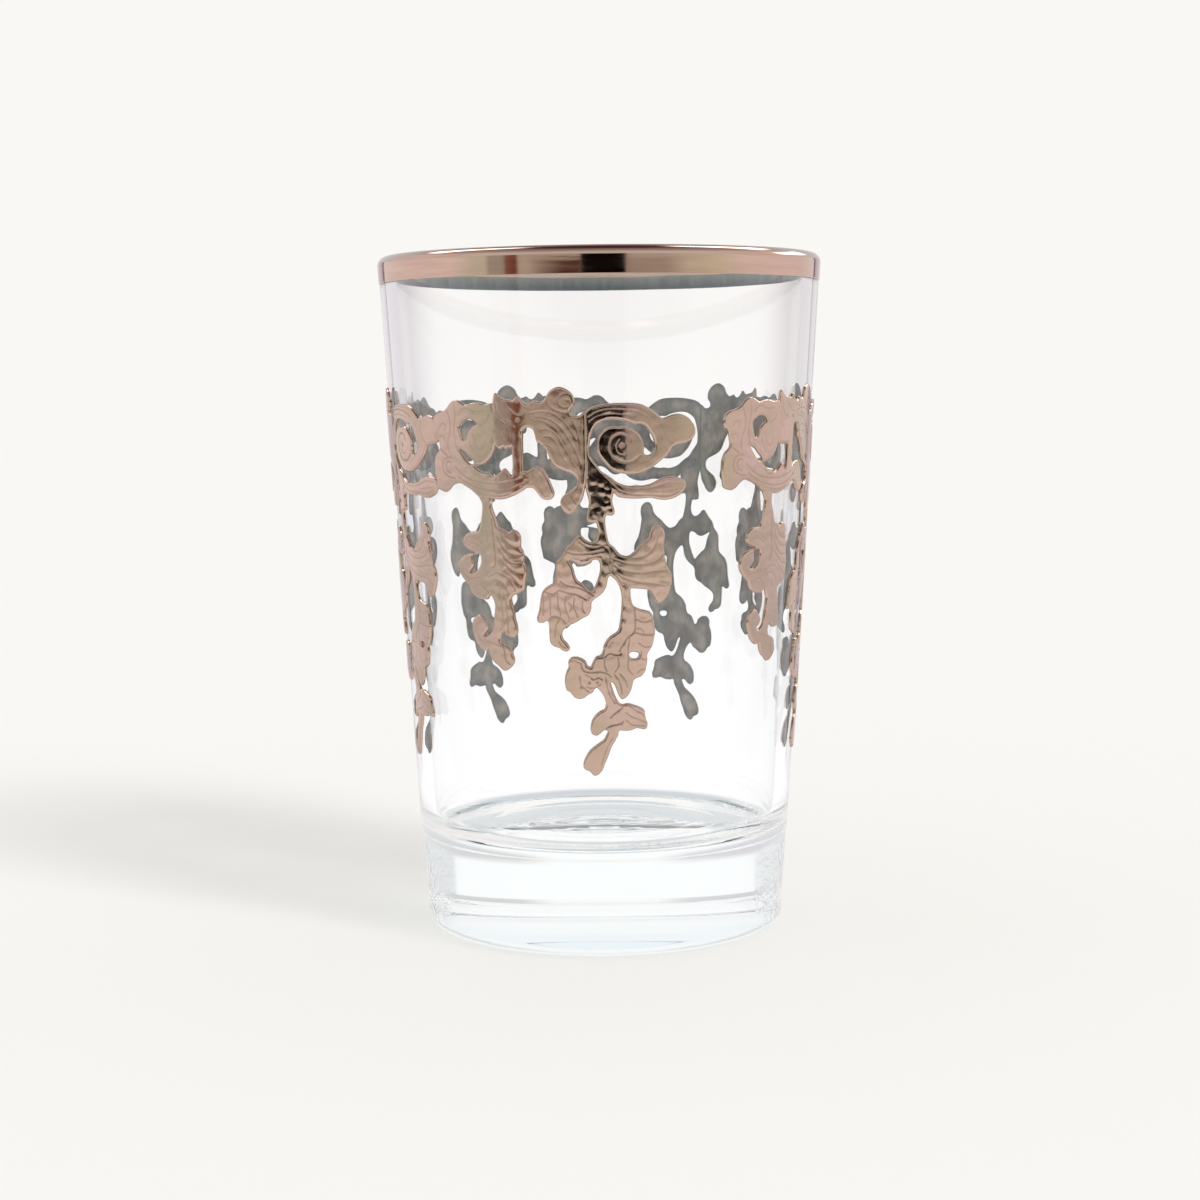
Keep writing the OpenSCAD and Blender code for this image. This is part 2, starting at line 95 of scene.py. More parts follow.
def node(tree, kind, settings, links):
    """Adds a node with its settings. An input takes a value, a socket, or a
    node for that node's first output in use. A ramp takes places and colours."""
    made = tree.nodes.new("ShaderNode" + kind)
    for name, value in settings.items():
        if name == "stops":
            elements = made.color_ramp.elements
            elements.remove(elements[-1])
            elements[0].position, elements[0].color = value[0][0], linear(value[0][1])
            for place, code in value[1:]:
                elements.new(place).color = linear(code)
        else:
            setattr(made, name, value)
    for name, value in links.items():
        if isinstance(value, bpy.types.Node):
            value = [socket for socket in value.outputs if socket.enabled][0]
        if isinstance(value, bpy.types.NodeSocket):
            tree.links.new(value, made.inputs[name])
        else:
            made.inputs[name].default_value = value
    return made


def new_material(name):
    made = bpy.data.materials.new(name)
    made.use_nodes = True
    made.node_tree.nodes.clear()
    return made, made.node_tree


def alone(piece):
    """Makes a piece the only selected and active one."""
    bpy.ops.object.select_all(action="DESELECT")
    piece.select_set(True)
    bpy.context.view_layer.objects.active = piece


# Drawings of the five motifs, in millimetres: across, and up from the table.
# A ball or a pit is across, up, radius and height or depth. A ridge or an
# engraved line is half its width, its height or depth, and its points.
CARTOUCHE = {
    "edge": [(-9.6, 66.6), (-9.55, 65), (-9.55, 63), (-9.5, 61.4), (-8.8, 61.6), (-7.9, 62), (-7.2, 61.8),
        (-6.6, 61), (-6.2, 60.1), (-5.85, 59.2), (-5.75, 58.6), (-6.1, 58.05), (-6.7, 57.9), (-7.4, 58.15),
        (-8, 58.9), (-8.5, 59.35), (-9.2, 59.35), (-10, 58.9), (-11, 58.4), (-12, 58.05), (-13, 57.9),
        (-14, 57.95), (-15, 58), (-15.9, 58.15), (-17, 58.95), (-18, 59.45), (-18.9, 59.85), (-19.6, 59.8),
        (-20.3, 59.4), (-20.8, 58.95), (-21.5, 58.65), (-22.3, 58.8), (-22.85, 59.15), (-23.05, 60.1),
        (-23.2, 61.2), (-23.15, 62.4), (-22.8, 63.3), (-22.3, 63.75), (-22, 64.3), (-22.15, 65.1),
        (-22.35, 66), (-22.95, 66.4), (-23.1, 67.2), (-22.85, 67.9), (-22.2, 68.4), (-21.1, 68.7),
        (-20.4, 69.1), (-19.8, 69.7), (-19.1, 70.05), (-18.4, 70), (-17.8, 69.7), (-17.2, 69.5),
        (-16.4, 69.7), (-15.5, 69.75), (-14.5, 69.55), (-13.35, 69.6), (-12.9, 68.5), (-12, 67.6),
        (-10.9, 67.1)],
    "holes": [
        [(-18.4, 66.9), (-17.6, 67.5), (-17, 67.7), (-16.2, 67.5), (-15.8, 67.1), (-16.4, 66.8),
         (-17, 66.3), (-17.3, 65.6), (-17.6, 65.2), (-18, 65.35), (-18.2, 66)],
        [(-18.6, 63.95), (-17.9, 63.75), (-17.1, 63.05), (-16.45, 62.45), (-16.9, 62.2), (-17.6, 62.65),
         (-18.2, 63.35)],
        [(-16.4, 62), (-15.6, 61.4), (-14.8, 61.2), (-14.3, 61.15), (-14, 60.8), (-13.4, 60.85),
         (-12.9, 61.2), (-12.4, 61.6), (-12, 61.75), (-11.5, 61.25), (-11.15, 60.9), (-11.02, 62),
         (-11.02, 63.5), (-11.05, 64.3), (-11.6, 64.9), (-12.5, 65), (-13.2, 64.6), (-13.45, 63.8),
         (-13.9, 63.1), (-14.5, 62.5), (-15.3, 62.1)]],
    "balls": [(-15.65, 64.45, 2.35, 0.46), (-12.25, 60.7, 1, 0.42), (-14.9, 60.75, 0.8, 0.4),
        (-22.2, 60.1, 1.5, 0.42), (-22.4, 67.2, 1.1, 0.4)],
    "ridges": [
        (0.5, 0.08, [(-10.35, 66), (-10.3, 63.5), (-10.2, 61)]),
        (0.6, 0.07, [(-13.8, 68.6), (-16.2, 68.8), (-18.6, 69.2), (-19.4, 67.6), (-19, 65.6)]),
        (0.6, 0.07, [(-18.6, 60.4), (-16.6, 59.3), (-13.6, 58.7), (-11, 59.2), (-8.8, 60.4)])],
    "lines": [
        (0.13, 0.1, [(-19.9, 62.9), (-20.6, 63), (-21.3, 62.5), (-21.5, 61.6), (-21, 60.8), (-20.2, 60.5),
            (-19.4, 60.4)]),
        (0.13, 0.1, [(-20, 62.3), (-20.5, 62.5), (-20.9, 62), (-20.7, 61.3), (-20.1, 61)]),
        (0.12, 0.24, [(-22.1, 64.1), (-21.4, 63.7), (-20.7, 63.2)]),
        (0.14, 0.09, [(-19.3, 61.8), (-18.2, 60.9), (-16.8, 60.25), (-15, 59.95), (-13, 59.9),
            (-11.2, 60.2), (-9.6, 60.7)]),
        (0.14, 0.09, [(-18.9, 60.6), (-17.4, 59.8), (-15.6, 59.2), (-13.6, 59), (-11.6, 59.2), (-10, 59.8),
            (-8.9, 60.3)]),
        (0.12, 0.07, [(-16.6, 59.2), (-15, 58.6), (-13, 58.4), (-11.2, 58.7)]),
        (0.12, 0.09, [(-13.2, 60.2), (-12.95, 60.9), (-12.3, 61.35), (-11.6, 61), (-11.4, 60.3)]),
        (0.12, 0.08, [(-15.9, 61.1), (-15.5, 60.6), (-14.8, 60.4), (-14.2, 60.7)]),
        (0.13, 0.08, [(-20.3, 68.8), (-19.8, 67.5), (-19.9, 66.1), (-20.4, 64.8), (-20.2, 63.6)]),
        (0.12, 0.07, [(-19, 69.5), (-18.9, 68.1), (-19.2, 66.4), (-19.1, 64.8), (-18.7, 64)]),
        (0.12, 0.07, [(-21.8, 66.5), (-21.3, 67.15), (-20.6, 66.9), (-20.9, 66.3)]),
        (0.12, 0.07, [(-22, 65.4), (-21.2, 65.6), (-20.8, 64.9)]),
        (0.12, 0.06, [(-18.3, 68.3), (-17.7, 68.9), (-16.9, 69), (-15.9, 68.6), (-14.6, 68.7)]),
        (0.12, 0.06, [(-15.2, 66.8), (-14.4, 67.3), (-13.8, 68.2)]),
        (0.12, 0.05, [(-16.9, 65.4), (-16.6, 64.2), (-15.8, 63.3), (-14.8, 63.2), (-14.1, 63.9)]),
        (0.12, 0.05, [(-16.2, 65.7), (-15.9, 64.6), (-15.3, 64), (-14.7, 64.3), (-14.6, 65.1)]),
        (0.11, 0.07, [(-8.6, 61.2), (-7.9, 60.4), (-7.4, 59.3), (-6.9, 58.4)]),
        (0.11, 0.06, [(-7.9, 61.5), (-7.2, 60.6), (-6.7, 59.6), (-6.2, 58.9)])],
    "pits": [(-9.2, 60.25, 0.35, 0.22), (-9.9, 59.5, 0.25, 0.14), (-8.45, 61.4, 0.25, 0.12)],
}

ACANTHUS = {
    "edge": [(-13.35, 69.9), (-13.15, 70.75), (-12.85, 70.9), (-12.5, 70.5), (-12, 70.2), (-11.3, 70.1),
        (-10.7, 70), (-10.3, 70.35), (-9.9, 70.5), (-9.5, 70), (-9, 69.6), (-8.5, 69.65), (-8, 70),
        (-7.6, 69.85), (-7.1, 69.8), (-6.6, 70.2), (-6.2, 70.95), (-5.6, 71.4), (-4.95, 71.6), (-4.2, 71.4),
        (-3.5, 70.9), (-3.1, 70.2), (-3.1, 69.4), (-3.5, 68.9), (-3.55, 68.4), (-3.1, 68.1), (-2.5, 68.15),
        (-1.9, 68.6), (-1.7, 67.5), (-1.7, 65), (-1.7, 62), (-1.85, 60), (-2.05, 58.9), (-2.35, 57.9),
        (-2.8, 57.2), (-3.3, 56.5), (-3.95, 56.2), (-4.6, 56.5), (-5, 57.2), (-5, 57.9), (-4.5, 58.6),
        (-3.7, 59.1), (-3.15, 59.6), (-2.95, 60.2), (-3.1, 60.7), (-3.7, 61.15), (-4.6, 61.5),
        (-5.5, 61.95), (-6.05, 62.6), (-6.4, 63.4), (-6.8, 64.1), (-7.3, 64.65), (-7.8, 64.95), (-8, 65.8),
        (-8.3, 66.5), (-8.9, 66.7), (-9.5, 66.3), (-9.6, 65.4), (-10.3, 64.9), (-11.1, 64.2),
        (-11.5, 64.25), (-11.8, 64.05), (-12.2, 64.25), (-12.6, 64.05), (-13, 64.2), (-13.4, 64.7),
        (-13.6, 65.6), (-13.5, 67), (-13.45, 68.5)],
    "holes": [],
    "balls": [(-4.62, 70.05, 1.5, 0.5), (-3.95, 57.5, 1.1, 0.44), (-12.4, 65.2, 1.1, 0.42)],
    "ridges": [
        (0.55, 0.08, [(-12.6, 69.6), (-10.4, 69), (-7.6, 68.9), (-5.6, 68.3), (-4, 66.6), (-2.9, 63.6)]),
        (0.5, 0.07, [(-8.2, 67), (-6.4, 66.9), (-5.2, 65.4), (-4.4, 63.2)]),
        (0.35, 0.07, [(-2.6, 62), (-2.5, 60.4), (-2.9, 58.8), (-3.9, 58.1)])],
    "lines": [
        (0.12, 0.11, [(-7.6, 68), (-6.5, 67.85), (-5.3, 67.2), (-4.2, 66), (-3.2, 64.2), (-2.5, 62.5)]),
        (0.12, 0.11, [(-8.8, 68.3), (-7.4, 68.6), (-6, 68.5), (-4.9, 67.9), (-3.8, 66.7), (-2.9, 65.2)]),
        (0.12, 0.1, [(-7.2, 66.4), (-6.4, 66.5), (-5.4, 65.9), (-4.7, 64.9), (-3.9, 63.5), (-3.2, 62)]),
        (0.11, 0.1, [(-6.9, 65.6), (-6, 65.6), (-5.3, 64.8), (-4.9, 63.8), (-4.3, 62.6)]),
        (0.11, 0.09, [(-6.9, 64.7), (-6, 64.4), (-5.6, 63.5), (-5.2, 62.5)]),
        (0.11, 0.08, [(-6.4, 67.2), (-5.5, 66.7), (-4.8, 65.8), (-4.1, 64.6), (-3.5, 63)]),
        (0.12, 0.1, [(-3.5, 67.8), (-2.9, 66.6), (-2.5, 65.2), (-2.4, 64)]),
        (0.11, 0.07, [(-2.2, 67.6), (-2.3, 66.4), (-2.7, 65.4)]),
        (0.14, 0.13, [(-6.4, 70.2), (-6, 69.3), (-5.2, 68.75), (-4.3, 68.45), (-3.6, 68.6)]),
        (0.13, 0.13, [(-3.3, 70.5), (-4.1, 70.85), (-4.9, 70.4), (-4.95, 69.6), (-4.3, 69.1), (-3.6, 69.3),
            (-3.6, 69.9), (-4.1, 70)]),
        (0.12, 0.08, [(-12.9, 69.9), (-12.7, 68.7), (-12, 67.8), (-11, 67.4)]),
        (0.12, 0.08, [(-12.4, 67.6), (-11.7, 67.2), (-11.1, 66.3), (-11.1, 65.2)]),
        (0.12, 0.08, [(-13.2, 66.7), (-12.4, 66), (-11.8, 65.1)]),
        (0.12, 0.08, [(-11.6, 69.5), (-10.8, 68.7), (-10, 68.2), (-9.2, 68.3)]),
        (0.12, 0.08, [(-9.4, 69.3), (-8.5, 68.9), (-7.7, 69), (-7, 69.4)]),
        (0.12, 0.09, [(-8.8, 68), (-8.1, 67.6), (-7.2, 67.55), (-6.4, 67.3)]),
        (0.12, 0.07, [(-10.6, 66.9), (-10.1, 66.2), (-10.2, 65.4)]),
        (0.12, 0.09, [(-2.9, 59.4), (-3.6, 58.7), (-3.3, 57.9), (-2.9, 57.3)]),
        (0.11, 0.06, [(-4.7, 57.9), (-4.2, 57.2), (-3.7, 56.7)])],
    "pits": [(-10, 67.6, 0.45, 0.22), (-10, 69.9, 0.4, 0.18), (-8.25, 69.5, 0.32, 0.16),
        (-7.95, 65.7, 0.35, 0.2), (-11.4, 67.7, 0.3, 0.12)],
}

SPIRAL = {
    "edge": [(-1.95, 64.5), (-1.95, 66.5), (-2, 68.1), (-1.7, 68.75), (-1, 69.15), (0, 69.4), (1.2, 69.55),
        (2.5, 69.6), (4, 69.55), (5, 69.35), (6, 68.8), (6.8, 68.2), (7.35, 67.75), (7.9, 67.85),
        (8.6, 68.1), (9.4, 68.2), (10.1, 68.05), (10.8, 67.65), (11.4, 67), (11.7, 66.2), (11.55, 65.4),
        (11, 64.9), (10.2, 64.6), (9.3, 64.45), (8.75, 64.15), (8.3, 63.5), (7.8, 62.95), (7.1, 62.4),
        (6.3, 61.8), (5.4, 61.3), (4.4, 61), (3.4, 60.95), (2.4, 61.1), (1.5, 61.35), (0.7, 62),
        (0.05, 62.8), (-0.4, 63.6), (-0.5, 64.5), (-0.3, 65.5), (0.2, 66.2), (0.9, 66.65), (1.6, 66.75),
        (2.3, 66.7), (2.9, 66.8), (3.6, 66.55), (4.4, 65.95), (5, 65.15), (5.25, 64.3), (5.15, 63.6),
        (5.4, 63.3), (5.9, 63.35), (6.35, 63.8), (6.5, 64.5), (6.3, 65.2), (5.9, 66), (5.3, 66.75),
        (4.8, 67), (4, 67), (3.3, 67.3), (2.4, 67.5), (1.5, 67.6), (0.6, 67.5), (-0.1, 67.2), (-0.7, 66.7),
        (-1.05, 66), (-1.3, 65), (-1.4, 64), (-1.3, 63.2), (-1, 62.7), (-0.5, 62.1), (0, 61.4), (0.6, 61),
        (1.2, 60.6), (2, 60), (3.2, 59.6), (4.2, 59.65), (5, 59.6), (6, 59.8), (6.8, 60.2), (7.6, 60.5),
        (8.5, 60.62), (9.5, 60.5), (10.3, 60.2), (10.6, 59.7), (10.4, 59), (9.9, 58.4), (9, 57.95),
        (8, 57.75), (7, 57.85), (6, 58.05), (5, 58), (4, 57.98), (3, 58.05), (2.1, 58.2), (1.5, 58.7),
        (0.9, 59.2), (0.2, 59.5), (-0.8, 59.7), (-1.8, 60.2), (-1.95, 62)],
    "holes": [],
    "balls": [(2.75, 64.3, 2.1, 0.5), (9.7, 66.3, 1.75, 0.5), (8.9, 59.2, 1.3, 0.42)],
    "ridges": [
        (0.7, 0.08, [(-1.3, 68.2), (0.4, 68.8), (2.6, 68.9), (4.8, 68.5), (6.6, 67.2), (7.5, 65.6),
            (7.2, 64), (6.2, 62.8), (4.6, 62.1), (3, 62.2)]),
        (0.5, 0.07, [(1.6, 59.4), (3.4, 58.8), (5.6, 58.9), (7.8, 59.2), (9.8, 59.3)])],
    "lines": [
        (0.15, 0.11, [(-1.5, 67.9), (-0.4, 68.55), (1, 68.85), (2.6, 68.8), (4.2, 68.5), (5.4, 67.9)]),
        (0.12, 0.08, [(-1.4, 67.3), (-0.4, 68), (1, 68.25), (2.6, 68.2), (4, 67.9)]),
        (0.12, 0.07, [(-0.9, 68.8), (0.6, 69.15), (2.6, 69.2), (4.6, 69), (5.9, 68.3)]),
        (0.12, 0.07, [(6.3, 67.3), (7, 66.2), (7.1, 64.9), (6.7, 63.7), (5.8, 62.8), (4.6, 62.3)]),
        (0.22, 0.16, [(4.7, 63.2), (3.8, 62.5), (2.6, 62.4), (1.6, 62.9), (1, 63.9), (1.15, 65.1),
            (2, 65.8), (3, 65.7), (3.5, 65)]),
        (0.14, 0.1, [(2.2, 65.2), (1.8, 64.4), (2.1, 63.5), (2.9, 63.3)]),
        (0.12, 0.08, [(7.9, 67.5), (7.6, 66.6), (7.9, 65.5), (8.6, 64.7)]),
        (0.12, 0.09, [(10.4, 67.6), (11.1, 67), (11.2, 66.1), (10.7, 65.3)]),
        (0.12, 0.1, [(2.2, 59), (3.8, 58.5), (6, 58.4), (8.2, 58.3), (9.6, 58.8)]),
        (0.12, 0.08, [(2.6, 59.4), (4.4, 59.15), (6.4, 59.4), (8.2, 59.9), (9.8, 59.8)]),
        (0.12, 0.06, [(6.8, 58.9), (8.2, 59), (9.9, 59.2)]),
        (0.14, 0.12, [(0.4, 60.8), (1.3, 59.9), (2.2, 59)])],
    "pits": [(2.5, 64.4, 0.55, 0.26), (1.6, 58.9, 0.3, 0.12)],
}

SHORT_SPRAY = {
    "edge": [(-15.95, 58.4), (-15.55, 57.4), (-15.6, 56.4), (-15.85, 55.2), (-16.1, 54.3), (-16.5, 53.95),
        (-17.2, 53.9), (-18, 53.7), (-18.7, 53.1), (-18.85, 52.4), (-18.5, 51.85), (-17.7, 51.5),
        (-17, 51.3), (-17.7, 51.15), (-18.5, 51), (-19.3, 50.6), (-19.8, 49.8), (-19.75, 48.8),
        (-19.3, 48.1), (-18.7, 47.5), (-18.2, 47.1), (-18.05, 46.6), (-17.6, 46), (-16.9, 45.65),
        (-16.1, 45.5), (-15.4, 45.5), (-15.05, 45.9), (-14.8, 46), (-14.4, 45.2), (-14.35, 44.4),
        (-14.55, 43.3), (-14.7, 42.3), (-14.9, 41.6), (-15.3, 41.2), (-15.8, 40.9), (-16.15, 41.05),
        (-15.7, 41.5), (-15.4, 42), (-15.5, 42.5), (-15.9, 42.95), (-16.4, 43.5), (-17.2, 43.45),
        (-17.8, 43), (-18.1, 42.2), (-18.05, 41.4), (-17.7, 40.5), (-17.2, 39.7), (-16.6, 39.2), (-16, 39),
        (-15.6, 39.25), (-15.45, 38.8), (-15.2, 38.1), (-14.8, 37.6), (-14.2, 37.2), (-13.6, 36.7),
        (-13, 36.7), (-12.4, 37.1), (-12, 37.5), (-11.75, 38.1), (-11.95, 38.8), (-12, 39.3), (-12.5, 39.7),
        (-13.1, 39.9), (-13.55, 40.2), (-13.65, 40.8), (-13.4, 41.3), (-13.1, 41.5), (-12.9, 41.2),
        (-12.5, 40.95), (-12, 40.85), (-11.5, 41), (-11.15, 41.6), (-11.2, 42.5), (-11.4, 43.2),
        (-11.5, 44.2), (-11.7, 45), (-11.85, 45.7), (-11.6, 46.1), (-11.1, 46.3), (-10.5, 46.6),
        (-10, 46.9), (-9.85, 47.6), (-9.7, 48.4), (-9.6, 49), (-9.7, 49.8), (-9.95, 50.4), (-9.85, 51),
        (-10, 51.7), (-10.3, 52.2), (-10.25, 52.9), (-10.3, 53.5), (-10.6, 54), (-11.1, 54.25),
        (-11.6, 54.2), (-11.95, 53.95), (-12.5, 54.2), (-13.1, 54.4), (-13.4, 55), (-13.7, 55.9),
        (-14.1, 57), (-14.2, 58.4)],
    "holes": [
        [(-17.3, 51), (-16.6, 51.05), (-16.15, 50.9), (-16.1, 50.2), (-16.4, 49.5), (-16.9, 49),
         (-17.5, 48.75), (-17.9, 48.9), (-17.5, 49.3), (-17.2, 49.8), (-17.3, 50.4)]],
    "balls": [(-17.3, 52.8, 1.25, 0.42), (-18.4, 49.6, 1.2, 0.44), (-16.4, 47, 1.35, 0.42),
        (-10.9, 53.3, 0.75, 0.42), (-17, 42.2, 1.1, 0.44), (-13.6, 38.2, 1.35, 0.44),
        (-11.9, 42.2, 0.7, 0.4)],
    "ridges": [
        (0.4, 0.06, [(-14.9, 57.6), (-14.7, 55.4), (-14.8, 53.2), (-15, 50.6), (-14.6, 48.4)]),
        (0.3, 0.06, [(-12.8, 53.8), (-11.9, 53), (-10.9, 52.7)]),
        (0.3, 0.06, [(-12.9, 52.9), (-11.9, 52), (-10.6, 51.6)]),
        (0.3, 0.06, [(-12.9, 51.8), (-11.8, 50.8), (-10.5, 50.7)]),
        (0.3, 0.06, [(-12.6, 50.5), (-11.4, 49.6), (-10.3, 49.5)]),
        (0.3, 0.06, [(-12.2, 49.2), (-11, 48.4), (-10.3, 47.8)]),
        (0.4, 0.07, [(-13.9, 47.4), (-13.8, 45), (-13.9, 42.8), (-14.3, 40.6)])],
    "lines": [
        (0.13, 0.12, [(-14.1, 55.6), (-14, 53.6), (-13.85, 51.6), (-13.85, 50), (-14.4, 49.5)]),
        (0.11, 0.08, [(-18.3, 52.9), (-17.4, 53.3), (-16.3, 53), (-15.3, 52.3)]),
        (0.11, 0.08, [(-17.9, 52.2), (-16.8, 52.5), (-15.6, 51.9)]),
        (0.12, 0.1, [(-12.9, 54.2), (-12.5, 53.3), (-11.8, 52.5), (-10.9, 52.15), (-10.3, 52.2)]),
        (0.12, 0.1, [(-13.3, 53.4), (-12.9, 52.4), (-12, 51.5), (-11, 51.15), (-10.1, 51.2)]),
        (0.12, 0.1, [(-13.2, 52), (-12.5, 50.9), (-11.5, 50.15), (-10.2, 50.2)]),
        (0.12, 0.1, [(-13, 50.6), (-11.9, 49.5), (-10.9, 49), (-9.9, 48.9)]),
        (0.12, 0.09, [(-12.6, 49.4), (-11.4, 48.3), (-10.5, 47.4)]),
        (0.12, 0.09, [(-14.9, 48.4), (-13.7, 48.9), (-12.6, 48.6), (-11.7, 47.8), (-11.2, 46.8)]),
        (0.12, 0.09, [(-15, 47.5), (-14, 48), (-13, 47.7), (-12.4, 47), (-12.2, 46.2)]),
        (0.12, 0.08, [(-17.5, 46.9), (-16.4, 47.4), (-15.5, 46.9), (-15, 46.2)]),
        (0.12, 0.09, [(-19.1, 48.9), (-18.2, 48.1), (-17, 48.1), (-15.8, 48.5)]),
        (0.12, 0.07, [(-17.9, 49.6), (-18.4, 50.2), (-17.8, 50.6)]),
        (0.11, 0.07, [(-13.5, 47), (-13.2, 45), (-13.1, 43.2), (-13.4, 41.8)]),
        (0.11, 0.08, [(-12.6, 46.2), (-12.5, 44.2), (-12.4, 42.6), (-12.5, 41.4)]),
        (0.12, 0.08, [(-16.5, 40.3), (-17.1, 41.1), (-17.2, 42.2), (-16.5, 42.7)]),
        (0.12, 0.09, [(-15.9, 40.3), (-14.9, 40.2), (-14, 39.8), (-13.2, 39.7)]),
        (0.14, 0.12, [(-13.2, 39.6), (-13.05, 38.8), (-12.9, 38), (-12.3, 37.5)])],
    "pits": [(-13.85, 50, 0.3, 0.12), (-11.9, 48.2, 0.35, 0.1)],
}

